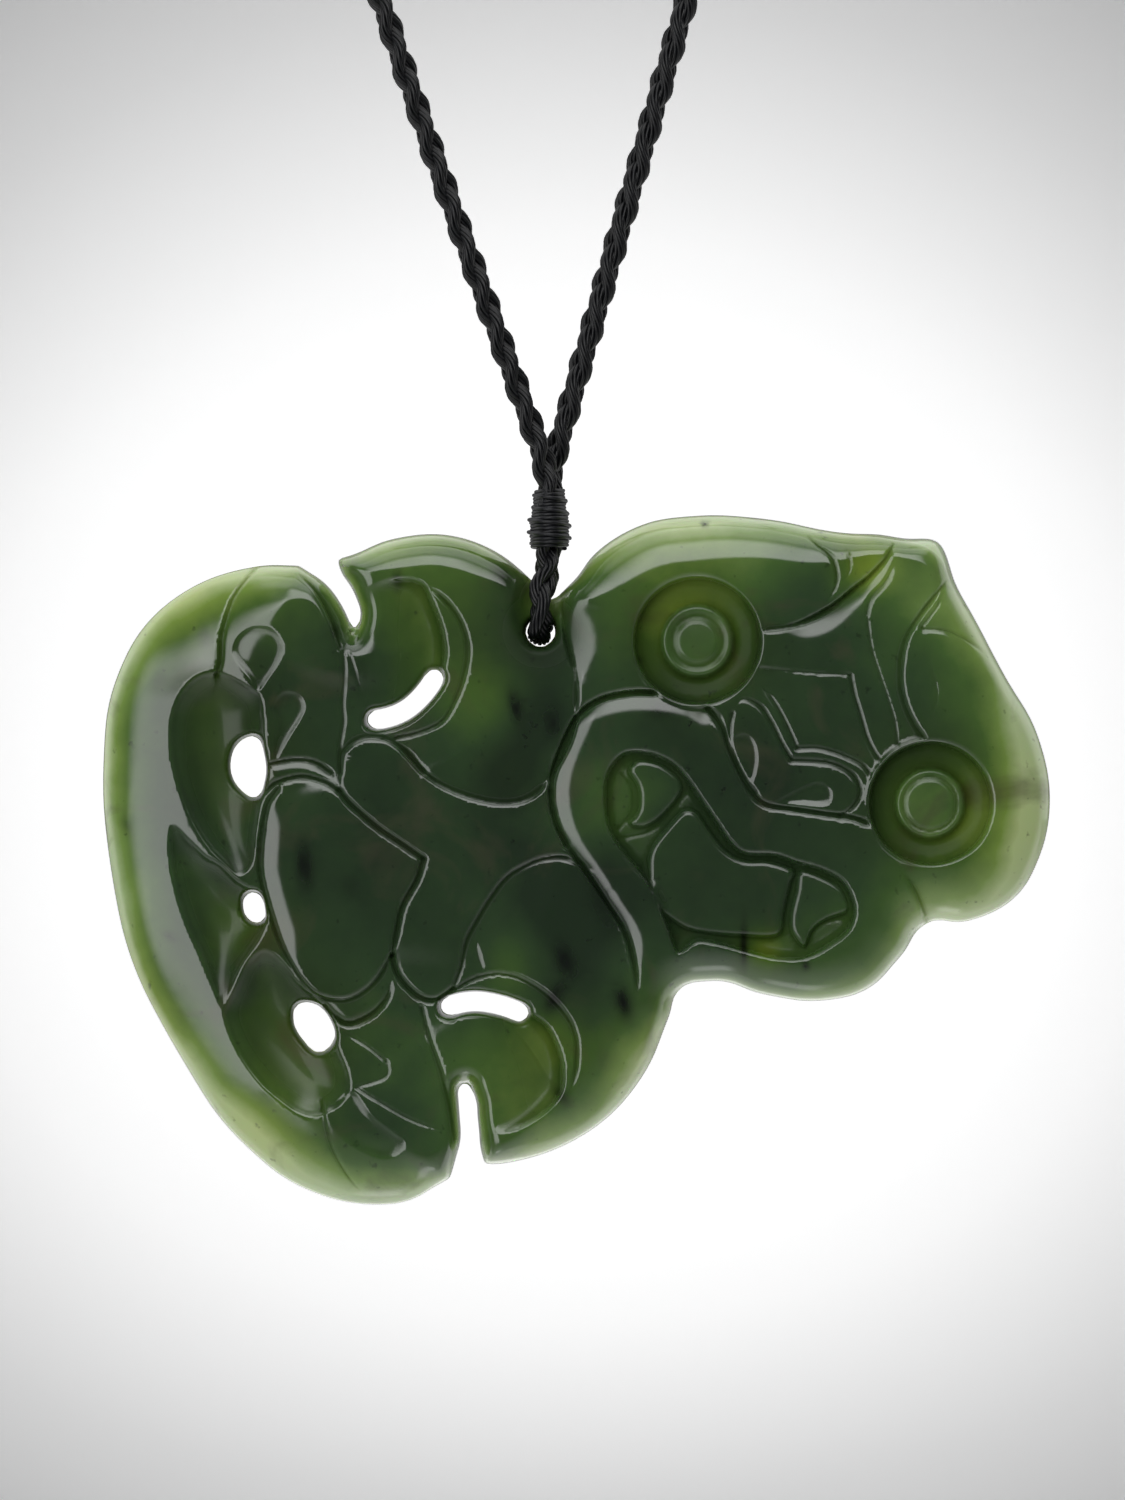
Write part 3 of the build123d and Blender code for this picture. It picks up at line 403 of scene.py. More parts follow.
class Plan:
    """A grid over the stone's plan, in mm from the frame's origin, that holds its height map."""

    def __init__(self, cell=0.1, margin=2.0):
        self.cell = cell
        self.low_x = STONE_LOW.x / MM - margin
        self.low_z = STONE_LOW.z / MM - margin
        self.columns = int((STONE_WIDTH + 2 * margin) / cell) + 1
        self.rows = int((STONE_HEIGHT + 2 * margin) / cell) + 1
        self.x, self.z = np.meshgrid(
            self.low_x + np.arange(self.columns) * cell, self.low_z + np.arange(self.rows) * cell)
        # 1 where the skin needs its points at half the spacing, 2 where it needs them at a quarter
        self.fine = np.zeros(self.x.shape)

    def place(self, shares):
        """The point in mm of a pair of shares."""
        return (
            STONE_LOW.x / MM + shares[0] / 100 * STONE_WIDTH,
            STONE_LOW.z / MM + shares[1] / 100 * STONE_HEIGHT,
        )

    def away(self, shares):
        """Distance of every cell from the place of a pair of shares."""
        x, z = self.place(shares)
        return np.hypot(self.x - x, self.z - z)

    def nearest(self, starts, ends, reach):
        """Signed distance to a line, left of its way positive, place along it and how far past its end."""
        lengths = np.hypot(*(ends - starts).T)
        before = np.concatenate([[0.0], np.cumsum(lengths)])
        gap = np.full(self.x.shape, float(reach))
        along = np.zeros(self.x.shape)
        past = np.zeros(self.x.shape)
        for start, end, length, run in zip(starts, ends, lengths, before):
            if length < 1e-9:
                continue
            lows = (np.minimum(start, end) - reach - (self.low_x, self.low_z)) / self.cell
            highs = (np.maximum(start, end) + reach - (self.low_x, self.low_z)) / self.cell
            i0, i1 = max(0, int(lows[1])), min(self.rows, int(highs[1]) + 2)
            j0, j1 = max(0, int(lows[0])), min(self.columns, int(highs[0]) + 2)
            if i0 >= i1 or j0 >= j1:
                continue
            window = (slice(i0, i1), slice(j0, j1))
            way = (end - start) / length
            dx, dz = self.x[window] - start[0], self.z[window] - start[1]
            ahead = dx * way[0] + dz * way[1]
            foot = np.clip(ahead, 0, length)
            off = np.hypot(dx - foot * way[0], dz - foot * way[1])
            side = np.where(way[0] * dz - way[1] * dx >= 0, 1.0, -1.0)
            closer = off < np.abs(gap[window]) - 1e-9
            gap[window] = np.where(closer, off * side, gap[window])
            along[window] = np.where(closer, run + foot, along[window])
            past[window] = np.where(closer, np.abs(ahead - foot), past[window])
        return gap, along, past, before[-1]

    def inside(self, starts, ends):
        """Which cells lie inside closed lines, by counting the crossings to the left of each cell."""
        parity = np.zeros(self.x.shape, dtype=int)
        heights = self.low_z + np.arange(self.rows) * self.cell + 1e-7
        for start, end in zip(starts, ends):
            low, high = sorted((start[1], end[1]))
            i0 = max(0, math.ceil((low - self.low_z - 1e-7) / self.cell))
            i1 = min(self.rows - 1, math.floor((high - self.low_z - 1e-7) / self.cell))
            for i in range(i0, i1 + 1):
                if not low <= heights[i] < high:
                    continue
                x = start[0] + (end[0] - start[0]) * (heights[i] - start[1]) / (end[1] - start[1])
                parity[i, max(0, math.ceil((x - self.low_x) / self.cell)):] += 1
        return parity % 2 == 1

    def sample(self, field, x, z):
        """Values of a field between its cells."""
        column = np.clip((x - self.low_x) / self.cell, 0, self.columns - 1.001)
        row = np.clip((z - self.low_z) / self.cell, 0, self.rows - 1.001)
        j, i = column.astype(int), row.astype(int)
        s, t = column - j, row - i
        return (
            field[i, j] * (1 - s) * (1 - t) + field[i, j + 1] * s * (1 - t)
            + field[i + 1, j] * (1 - s) * t + field[i + 1, j + 1] * s * t
        )


def blurred(field, times):
    """A field smoothed by a small kernel, several times."""
    for _ in range(times):
        field = np.pad(field, 1, mode="edge")
        field = (field[:, :-2] + 2 * field[:, 1:-1] + field[:, 2:]) / 4
        field = (field[:-2] + 2 * field[1:-1] + field[2:]) / 4
    return field


def softened(field, reach):
    """A field smoothed over a reach given in cells, however far."""
    rows, columns = field.shape
    waves = np.hypot(np.fft.fftfreq(rows)[:, None], np.fft.rfftfreq(columns))
    return np.fft.irfft2(np.fft.rfft2(field) * np.exp(-2 * (math.pi * reach * waves) ** 2), field.shape)


def flowing(points, closed=False, step=0.45):
    """Points at even steps along a smooth line through the given ones."""
    knots = [np.array(p, float) for p in points]
    if closed:
        knots = [knots[-1], *knots, knots[0], knots[1]]
    else:
        knots = [2 * knots[0] - knots[1], *knots, 2 * knots[-1] - knots[-2]]
    found = []
    for a, b, c, d in zip(knots, knots[1:], knots[2:], knots[3:]):
        count = max(1, int(np.hypot(*(c - b)) / step))
        for k in range(count):
            t = k / count
            found.append(0.5 * (2 * b + (c - a) * t + (2 * a - 5 * b + 4 * c - d) * t**2
                                + (3 * b - a - 3 * c + d) * t**3))
    found.append(knots[-2])
    return np.array(found)


def line_of(plan, rows, closed=False):
    """Starts and ends of the short pieces of a smooth line through places given as shares."""
    points = flowing([plan.place(row) for row in rows], closed)
    return points[:-1], points[1:]


def smooth_step(t):
    """Soft rise from nothing to one."""
    t = np.clip(t, 0, 1)
    return t * t * (3 - 2 * t)


def outer_ring(bm):
    """Which edges of a flat section lie on its outer ring."""
    reached, waiting = set(), [min(bm.verts, key=lambda v: v.co.x)]
    while waiting:
        vert = waiting.pop()
        if vert not in reached:
            reached.add(vert)
            waiting.extend(edge.other_vert(vert) for edge in vert.link_edges)
    return np.array([edge.verts[0] in reached for edge in bm.edges])


def cut_edges():
    """The stone's section at its middle plane, its edges' starts and ends in mm, and which are outermost."""
    bm = bmesh.new()
    bm.from_mesh(frame["nodes"][STONE_NODE].data)
    bmesh.ops.remove_doubles(bm, verts=bm.verts, dist=1e-6)
    bmesh.ops.bisect_plane(
        bm, geom=bm.verts[:] + bm.edges[:] + bm.faces[:], dist=1e-7, plane_co=HANG, plane_no=(0, 1, 0),
        clear_inner=True, clear_outer=True)
    pairs = np.array([[(v.co.x / MM, v.co.z / MM) for v in edge.verts] for edge in bm.edges])
    return bm, pairs[:, 0], pairs[:, 1], outer_ring(bm)


def slab(bm):
    """Closed flat slab with the section's edges as its outline."""
    half = SLAB * MM
    bmesh.ops.triangle_fill(bm, use_beauty=True, use_dissolve=False, edges=bm.edges[:])
    bmesh.ops.translate(bm, verts=bm.verts, vec=(0, -half, 0))
    raised = bmesh.ops.extrude_face_region(bm, geom=bm.faces[:])
    moved = [g for g in raised["geom"] if isinstance(g, bmesh.types.BMVert)]
    bmesh.ops.translate(bm, verts=moved, vec=(0, 2 * half, 0))
    bmesh.ops.recalc_face_normals(bm, faces=bm.faces)
    mesh = bpy.data.meshes.new("greenstone_skin")
    bm.to_mesh(mesh)
    bm.free()
    return mesh


def edge_fields(plan, starts, ends, outer):
    """Distance in from the outline and from the openings, softened so that corners are worn round."""
    gap = np.abs(plan.nearest(starts[outer], ends[outer], OUTLINE_REACH)[0])
    outline = np.where(plan.inside(starts[outer], ends[outer]), gap, -gap)
    gap = np.abs(plan.nearest(starts[~outer], ends[~outer], OPENING_REACH)[0])
    openings = np.where(plan.inside(starts[~outer], ends[~outer]), -gap, gap)
    return blurred(outline, 10), blurred(openings, 4)


def rounding_field(plan, column):
    """How far the outline's round-over reaches in at each cell, or how much light glows through it."""
    total, weight = 0, 1e-9
    for row in ROUNDING:
        near = row[5] * np.exp(-(plan.away(row[:2]) / row[4]) ** 2)
        total = total + row[column] * near
        weight = weight + near
    return total / weight


def fading(along, length, row, longest):
    """How much of a line is left at each place along it: its row says which ends fade, over some mm."""
    ramp = min(longest, length / 2)
    strength = np.ones_like(along)
    if row[-3]:
        strength = strength * smooth_step(along / ramp)
    if row[-2]:
        strength = strength * smooth_step((length - along) / ramp)
    return strength


def carve_line(plan, cut, sunk, row):
    """Adds a cut's steep walls to what is cut away, and the form beside it to what is sunk."""
    depth, left, right = row[:3]
    long = depth / SUNK_SLOPE if left or right else 1.0
    gap, along, past, length = plan.nearest(*line_of(plan, row[-1]), long)
    off = np.abs(gap)
    beside = smooth_step(1.5 - 2 * past / (off + 0.1)) * fading(along, length, row, longest=16.0)
    wall = 1 - smooth_step(off / (CUT_WALL + WALL_SHARE * depth))
    wall = depth * wall * fading(along, length, row, longest=4.0)
    if left or right:
        low = softened((1 - np.minimum(off / long, 1)) * beside, 1.0 / plan.cell)
        low = depth * np.where(gap >= 0, left, right) * low
        np.maximum(sunk, low, out=sunk)
        wall = np.maximum(wall - low, 0)
    cut += wall
    plan.fine = np.maximum(plan.fine, np.where(off < 0.22 + 0.22 * depth, 2, off < 0.7))


def round_edge(plan, height, row):
    """Rounds the form on the right of a line down towards it."""
    fall, reach = row[:2]
    gap, along, _, length = plan.nearest(*line_of(plan, row[-1]), reach)
    share = np.clip(np.abs(gap) / reach, 0, 1)
    drop = fall * (1 - np.sqrt(1 - (1 - share) ** 2)) * (gap < 0) * (np.abs(gap) < reach)
    height -= drop * fading(along, length, row, longest=6.0)


def carve_hollow(plan, height, row):
    """Takes one closed hollow out of the height map, or lets it stand up."""
    depth, slope, lean, points = row
    starts, ends = line_of(plan, points, closed=True)
    gap = np.abs(plan.nearest(starts, ends, 4 * slope)[0])
    within = plan.inside(starts, ends)
    share = 1.0
    if lean is not None:
        way = (math.cos(math.radians(lean)), math.sin(math.radians(lean)))
        ahead = plan.x * way[0] + plan.z * way[1]
        edge = starts @ np.array(way)
        share = smooth_step((ahead - edge.min()) / (edge.max() - edge.min()))
    if slope > 1:
        gap = softened(gap * within, 0.7 / plan.cell)
    height -= depth * share * (1 - np.exp(-gap / slope)) * within
    plan.fine = np.maximum(plan.fine, np.where((gap < 0.2) & (slope < 1), 2, gap < 0.8))


def carve_eye(plan, height, row):
    """Flat sunken socket, a ring with a cove inside it, and a flat pupil."""
    u, v, socket, ring, pupil = row
    r = plan.away((u, v))
    worn, edge_depth, bowl_depth, pupil_depth, cove_depth, lip = 0.2, 0.5, 1.5, 1.0, 0.3, 0.5
    away = np.maximum(r - ring, 0) / (socket - ring)
    bowl = edge_depth + bowl_depth * np.sqrt(np.clip(1 - away**2, 0, 1))
    ring_wall = smooth_step((ring + 0.3 - r) / 0.7)
    across = np.clip((r - pupil) / (ring - 0.45 - pupil), 0, 1)
    cove = np.where(r > pupil, pupil_depth + cove_depth * np.sin(math.pi * across), pupil_depth)
    dish = (bowl * (1 - ring_wall) + ring_wall * cove) * smooth_step((socket - r) / 0.3)
    over = smooth_step((socket + lip - r) / lip)
    height += over * (FRONT - worn - dish - height)
    plan.fine = np.maximum(plan.fine, np.where(np.abs(r - socket) < 0.4, 2, r < socket + 0.6))


def relief(plan):
    """Height of the carved front over the middle plane, before the edge is rounded."""
    height = np.full(plan.x.shape, FRONT)
    for u, v, radius, rise in SWELLS:
        height += rise * np.exp(-(plan.away((u, v)) / radius) ** 2)
    for row in ROUNDED:
        round_edge(plan, height, row)
    for row in HOLLOWS:
        carve_hollow(plan, height, row)
    cut, sunk = np.zeros(plan.x.shape), np.zeros(plan.x.shape)
    for row in LINES:
        carve_line(plan, cut, sunk, row)
    height -= cut + sunk
    for row in EYES:
        carve_eye(plan, height, row)
    height += hand_polish(plan)
    return saddle(plan, np.clip(height, 1.0, FRONT))


def hand_polish(plan):
    """The slow waves in mm that polishing by hand leaves on a flat face."""
    slanting = 0.05 * np.sin(plan.x / 5.3 + 0.8 * np.sin(plan.z / 7.1))
    return slanting + 0.04 * np.sin(plan.z / 4.7 + plan.x / 9.0)


def saddle(plan, height):
    """Lowers a height map to the thin bridge that the cord passes over."""
    across = (plan.x - HANG.x / MM) / SADDLE_WIDE
    above = (plan.z - HANG.z / MM - SADDLE_RISE) / SADDLE_HIGH
    return height + (BRIDGE - height) * np.exp(-np.hypot(across, above) ** 4)


def dull_and_shade_field(plan, front):
    """Where polishing hardly reached: in cuts, on deep floors, round the hole and in the eye sockets; the
    same share darkens the colour there as painted shade.
    """
    below = softened(front, 0.4 / plan.cell) - front
    in_cuts = np.clip((below - 0.015) / 0.07, 0, 1)
    on_floors = 0.6 * smooth_step((FRONT - front - 0.5) / 1.2)
    round_hole = np.exp(-(np.hypot(plan.x - HANG.x / MM, plan.z - HANG.z / MM) / 4) ** 4)
    dull_and_shaded = np.maximum(np.maximum(in_cuts, on_floors), round_hole)
    for u, v, socket, ring, pupil in EYES:
        r = plan.away((u, v))
        bowl = smooth_step((socket - 0.1 - r) / 0.3) * smooth_step((r - pupil - 0.1) / 0.3)
        dull_and_shaded = np.maximum(dull_and_shaded, bowl * np.where(r > ring, 0.9, 0.45))
    return dull_and_shaded


def crowd_points(mesh, plan, outline, openings, width):
    """Halves the skin's spacing on the front where a line or a narrow lip passes, and once more at a cut."""
    rim, sharp, lip = 1.4, 2.4, 1.2
    narrow = ((outline < rim) & (width < sharp)) | (openings < lip)
    bm = bmesh.new()
    bm.from_mesh(mesh)
    for wanted in (np.maximum(plan.fine > 0, narrow), plan.fine > 1):
        spread = blurred(wanted.astype(float), 3)
        co = np.array([v.co[:] for v in bm.verts]) / MM
        chosen = plan.sample(spread, co[:, 0], co[:, 2]) > 0.3
        chosen &= co[:, 1] - HANG.y / MM < -0.97 * SLAB
        bm.verts.index_update()
        edges = [e for e in bm.edges if chosen[e.verts[0].index] and chosen[e.verts[1].index]]
        bmesh.ops.subdivide_edges(bm, edges=edges, cuts=1, use_grid_fill=True)
    bm.to_mesh(mesh)
    bm.free()


def points_of(mesh):
    """A mesh's points in mm."""
    co = np.empty(len(mesh.vertices) * 3)
    mesh.vertices.foreach_get("co", co)
    return co.reshape(-1, 3) / MM


def round_over(inward, reach):
    """Share of the full height at a distance in from an edge that is rounded over a reach."""
    return np.sqrt(np.clip(1 - (1 - np.clip(inward / reach, 0, 1)) ** 2, 0, 1))


def lay_skin(mesh, plan, outline, openings, width, front, back):
    """Moves the slab's points onto the rounded, carved shape, drawn in from the edges where it is steep."""
    co = points_of(mesh)
    x, y, z = co[:, 0], co[:, 1] - HANG.y / MM, co[:, 2]
    side = np.where(y < 0, 1.0, BACK_SHARE)
    up = np.clip(np.abs(y) / SLAB, 0, 1)
    edge = np.minimum(outline, openings)
    slope_z, slope_x = np.gradient(edge, plan.cell)
    steep = np.maximum(np.hypot(slope_x, slope_z), 0.3)
    inward = np.maximum(plan.sample(edge, x, z), 0)
    near = np.where(outline < openings, np.minimum(width, SPREAD), LIP)
    reach = plan.sample(near, x, z) * side
    out = 1 - np.minimum(inward / reach, 1)
    wanted = reach * (1 - out / np.maximum(np.hypot(out, up), 1e-6))
    shift = np.where(out > 0, wanted - inward, 0)
    x += shift * plan.sample(slope_x / steep, x, z)
    z += shift * plan.sample(slope_z / steep, x, z)
    rise = (
        round_over(plan.sample(outline, x, z) + 1e-4, plan.sample(width, x, z) * side)
        * round_over(plan.sample(openings, x, z) + 1e-4, LIP * side) * np.minimum(up / 0.15, 1))
    y_new = np.where(y < 0, -plan.sample(front, x, z), plan.sample(back, x, z)) * rise
    for u, v, reach, pull_x, pull_z in CORNERS:
        near = np.exp(-(np.hypot(x - plan.place((u, v))[0], z - plan.place((u, v))[1]) / reach) ** 2)
        x += pull_x * near
        z += pull_z * near
    mesh.vertices.foreach_set("co", (np.stack([x, y_new + HANG.y / MM, z], axis=1) * MM).ravel())


def thickness_field(outline, openings, width, front, back):
    """How thick the stone is in mm at each cell."""
    total = 0
    for face, share in ((front, 1.0), (back, BACK_SHARE)):
        total = total + face * round_over(outline, share * width) * round_over(openings, share * LIP)
    return total


def thin_out(piece, plan, outline, openings, faces):
    """Collapses a piece to a number of triangles away from cuts and edges, but keeps its dense shading."""
    piece.data.polygons.foreach_set("use_smooth", [True] * len(piece.data.polygons))
    dense = new_object("dense_skin", piece.data.copy())
    x, y, z = points_of(piece.data).T
    cuts = blurred((plan.fine > 1).astype(float), 3)
    plain = plan.sample(cuts, x, z) < 0.1
    plain |= y > HANG.y / MM + BACK_EDGE
    plain &= plan.sample(np.minimum(outline, openings), x, z) > 1.0
    group = piece.vertex_groups.new(name="plain")
    group.add(np.flatnonzero(plain).tolist(), 1.0, "REPLACE")
    thin = piece.modifiers.new("Decimate", "DECIMATE")
    thin.vertex_group = "plain"
    thin.vertex_group_factor = 1000
    thin.ratio = min(1.0, faces / sum(len(face.vertices) - 2 for face in piece.data.polygons))
    keep = piece.modifiers.new("Normals", "DATA_TRANSFER")
    keep.object = dense
    keep.use_loop_data = True
    keep.data_types_loops = {"CUSTOM_NORMAL"}
    keep.loop_mapping = "POLYINTERP_NEAREST"
    apply_modifiers(piece)
    piece.vertex_groups.clear()
    bpy.data.objects.remove(dense)


def write_attribute(mesh, plan, name, field, share):
    """Stores a field's value at each point of a mesh, times its share there, for the material to read."""
    x, _, z = points_of(mesh).T
    layer = mesh.attributes.new(name, "FLOAT", "POINT")
    layer.data.foreach_set("value", np.asarray(plan.sample(field, x, z) * share, dtype=np.float32))


def fleck_field(plan):
    """Where the dark flecks in the stone lie."""
    dark = np.zeros(plan.x.shape)
    for u, v, long, wide, lean, strength in FLECKS:
        x, z = plan.place((u, v))
        angle = math.radians(lean)
        dx, dz = plan.x - x, plan.z - z
        along = dz * math.cos(angle) - dx * math.sin(angle)
        across = dx * math.cos(angle) + dz * math.sin(angle)
        dark = np.maximum(dark, strength * np.exp(-((along / long) ** 2 + (across / wide) ** 2)))
    return dark


def tone_and_light_field(plan, column):
    """Where the stone's colour is lighter or darker than its thickness says, from its own tone and from
    painted glow, painted sheen and painted shade, or where it is yellower.
    """
    tone_and_painted_light = np.zeros(plan.x.shape)
    for row in TONE_AND_PAINTED_LIGHT:
        tone_and_painted_light += row[column] * np.exp(-(plan.away(row[:2]) / row[2]) ** 2)
    # The eye rings are lightened in colour as a painted sheen
    for row in EYES:
        ring = smooth_step((row[3] + 0.2 - plan.away(row[:2])) / 0.5)
        tone_and_painted_light = tone_and_painted_light * (1 - ring) + ring * (0.3 if column == 3 else 0.0)
    return tone_and_painted_light


def new_object(name, data):
    """Object at the origin that holds a mesh, a curve, a light or a camera."""
    piece = bpy.data.objects.new(name, data)
    bpy.context.scene.collection.objects.link(piece)
    return piece


def finished_mesh(piece):
    """The mesh that a curve, or a piece with modifiers, comes to."""
    graph = bpy.context.evaluated_depsgraph_get()
    return bpy.data.meshes.new_from_object(piece.evaluated_get(graph))


def apply_modifiers(piece):
    """Replaces a piece's mesh by what its modifiers make of it."""
    made = finished_mesh(piece)
    piece.modifiers.clear()
    piece.data = made


def add(tree, kind, settings=(), stops=()):
    """Adds a node with its settings and inputs, as values or as sockets to link from, and a ramp's stops.

    Inputs that share a name with others, such as those of a sum or a mix, are given by number.
    """
    node = tree.nodes.new(kind)
    for name, value in dict(settings).items():
        if isinstance(value, bpy.types.NodeSocket):
            tree.links.new(value, node.inputs[name])
        elif isinstance(name, int) or name in node.inputs:
            node.inputs[name].default_value = value
        else:
            setattr(node, name, value)
    if stops:
        elements = node.color_ramp.elements
        while len(elements) < len(stops):
            elements.new(0.5)
        for element, (place, colour) in zip(elements, stops):
            element.position = place
            element.color = linear(colour)
    return node


def new_material(name):
    """Material with a plain Principled shader, and its node tree."""
    material = bpy.data.materials.new(name)
    material.use_nodes = True
    return material, material.node_tree, material.node_tree.nodes["Principled BSDF"]


def polished_greenstone(settings):
    """Polished nephrite: a clear waxy gloss, green clouds, and a painted glow of light coming through where
    it is thin.
    """
    material, tree, shader = new_material("polished_greenstone")
    place = add(tree, "ShaderNodeTexCoord").outputs["Object"]
    thickness_and_glow, fleck, tone_and_painted_light, dull_and_shaded, yellow = (
        add(tree, "ShaderNodeAttribute", {"attribute_name": name}).outputs["Fac"]
        for name in ("thickness_and_glow", "fleck", "tone_and_painted_light", "dull_and_shaded", "yellow"))

    # Clouds and finer wisps in the green, which darkens as the stone gets thicker: the light colour of thin
    # places and rims is a painted glow of light coming through
    clouds = add(tree, "ShaderNodeTexNoise", {
        "Scale": 1 / CLOUD, "Detail": 3.0, "Roughness": 0.55, "Vector": place})
    wisps = add(tree, "ShaderNodeTexNoise", {
        "Scale": 1 / WISP, "Detail": 4.0, "Roughness": 0.6, "Vector": place})
    drift = add(tree, "ShaderNodeMath", {
        "operation": "MULTIPLY_ADD", 0: clouds.outputs["Fac"], 1: 0.5, 2: thickness_and_glow})
    fine = add(tree, "ShaderNodeMath", {
        "operation": "MULTIPLY_ADD", 0: wisps.outputs["Fac"], 1: 0.16, 2: drift.outputs[0]})
    # The tone table lightens or darkens the colour: partly the stone's own tone, partly painted glow, painted
    # sheen and painted shade
    shifted = add(tree, "ShaderNodeMath", {"operation": "SUBTRACT", 0: fine.outputs[0], 1: tone_and_painted_light})
    scaled = add(tree, "ShaderNodeMapRange", {
        "Value": shifted.outputs[0], "From Min": 0.29, "From Max": 1.39})
    body = add(tree, "ShaderNodeValToRGB", {"Fac": scaled.outputs[0]}, [
        (0.0, settings.thin), (0.25, settings.rim), (0.5, settings.middle), (0.75, settings.thick),
        (1.0, settings.deep)])

    # Brown veils, dark flecks and specks, and the yellower places
    veils = add(tree, "ShaderNodeTexNoise", {
        "Scale": 1 / VEIL, "Detail": 4.0, "Distortion": 1.6, "Vector": place})
    veiled = add(tree, "ShaderNodeMapRange", {
        "Value": veils.outputs["Fac"], "From Min": 0.56, "From Max": 0.76, "To Max": 0.55})
    brown = add(tree, "ShaderNodeMix", {
        "data_type": "RGBA", 0: veiled.outputs[0], 6: body.outputs["Color"], 7: linear("54523f")})
    specks = add(tree, "ShaderNodeTexNoise", {"Scale": 1 / SPECK, "Detail": 2.0, "Vector": place})
    speckled = add(tree, "ShaderNodeMapRange", {
        "Value": specks.outputs["Fac"], "From Min": 0.68, "From Max": 0.78})
    marks = add(tree, "ShaderNodeMath", {
        "operation": "MULTIPLY_ADD", 0: speckled.outputs[0], 1: 0.5, 2: fleck})
    dark = add(tree, "ShaderNodeMix", {
        "data_type": "RGBA", 0: marks.outputs[0], 6: brown.outputs[2], 7: linear("0d120e")})
    warm = add(tree, "ShaderNodeMix", {
        "data_type": "RGBA", "blend_type": "MULTIPLY", 0: yellow, 6: dark.outputs[2],
        7: (1.1, 1.0, 0.45, 1.0)})

    # Cuts and sockets that the polish didn't reach lose their gloss, and their colour is darkened there as
    # painted shade
    painted_shade_share = add(tree, "ShaderNodeMath", {"operation": "MULTIPLY", 0: dull_and_shaded, 1: 0.5})
    painted_shade = add(tree, "ShaderNodeMix", {
        "data_type": "RGBA", "blend_type": "MULTIPLY", 0: painted_shade_share.outputs[0], 6: warm.outputs[2],
        7: linear("7c8158")})
    tree.links.new(painted_shade.outputs[2], shader.inputs["Base Color"])
    for name, polished, unpolished in (
        ("Roughness", settings.polish, 0.5), ("Coat Weight", 1.0, 0.0), ("Specular IOR Level", 0.5, 0.03),
    ):
        worn = add(tree, "ShaderNodeMapRange", {"Value": dull_and_shaded, "To Min": polished, "To Max": unpolished})
        tree.links.new(worn.outputs[0], shader.inputs[name])

    # The faint ripple of a surface that was polished by hand
    ripple = add(tree, "ShaderNodeTexNoise", {"Scale": 1 / RIPPLE, "Detail": 2.0, "Vector": place})
    bump = add(tree, "ShaderNodeBump", {
        "Strength": 1.0, "Distance": 0.006 * MM, "Height": ripple.outputs["Fac"]})
    tree.links.new(bump.outputs["Normal"], shader.inputs["Normal"])
    tree.links.new(bump.outputs["Normal"], shader.inputs["Coat Normal"])
    shader.inputs["IOR"].default_value = 1.61
    shader.inputs["Coat Roughness"].default_value = 0.05
    shader.inputs["Subsurface Weight"].default_value = 0.25
    shader.inputs["Subsurface Radius"].default_value = (1.2, 2.4, 0.7)
    shader.inputs["Subsurface Scale"].default_value = MM
    return material


def waxed_thread(name, colour, roughness):
    """Waxed polyester thread: near black, with a low satin shine along each filament."""
    material, tree, shader = new_material(name)
    place = add(tree, "ShaderNodeTexCoord").outputs["Object"]
    fibre = add(tree, "ShaderNodeTexNoise", {"Scale": 1 / FIBRE, "Detail": 3.0, "Vector": place})
    shade = add(tree, "ShaderNodeValToRGB", {"Fac": fibre.outputs["Fac"]}, [(0.3, "070708"), (0.7, colour)])
    tree.links.new(shade.outputs["Color"], shader.inputs["Base Color"])
    wear = add(tree, "ShaderNodeMapRange", {
        "Value": fibre.outputs["Fac"], "To Min": roughness - 0.12, "To Max": roughness + 0.14})
    tree.links.new(wear.outputs[0], shader.inputs["Roughness"])
    bump = add(tree, "ShaderNodeBump", {
        "Strength": 0.35, "Distance": 0.05 * MM, "Height": fibre.outputs["Fac"]})
    tree.links.new(bump.outputs["Normal"], shader.inputs["Normal"])
    return material


def mesh_of_curve(curve):
    """Turns a curve into a mesh, and takes the curve away."""
    holder = new_object(curve.name, curve)
    mesh = finished_mesh(holder)
    bpy.data.objects.remove(holder)
    bpy.data.curves.remove(curve)
    return mesh


def route_points(points):
    """Points read from the smooth line that a route's control points make."""
    curve = bpy.data.curves.new("route", "CURVE")
    curve.dimensions = "3D"
    curve.resolution_u = 48
    spline = curve.splines.new("NURBS")
    spline.points.add(len(points) - 1)
    for point, spot in zip(spline.points, points):
        point.co = (*(Vector(spot) * MM), 1)
    spline.order_u = 3
    spline.use_endpoint_u = True
    mesh = mesh_of_curve(curve)
    found = np.array([v.co[:] for v in mesh.vertices])
    bpy.data.meshes.remove(mesh)
    return found


def even_steps(points, step):
    """The same line as points at even steps, with the length run at each."""
    run = np.concatenate([[0], np.cumsum(np.linalg.norm(np.diff(points, axis=0), axis=1))])
    count = int(run[-1] / step)
    wanted = np.linspace(0, run[-1], count + 1)
    return np.stack([np.interp(wanted, run, points[:, k]) for k in range(3)], axis=1), wanted


def frames_along(points):
    """Ways across and out at each point of a line, turned as little as can be from point to point."""
    ahead = np.gradient(points, axis=0)
    ahead /= np.linalg.norm(ahead, axis=1)[:, None]
    out = np.zeros_like(ahead)
    last = np.array([0.0, -1.0, 0.0])
    for i, way in enumerate(ahead):
        last = last - way * last.dot(way)
        last /= np.linalg.norm(last)
        out[i] = last
    return np.cross(ahead, out), out


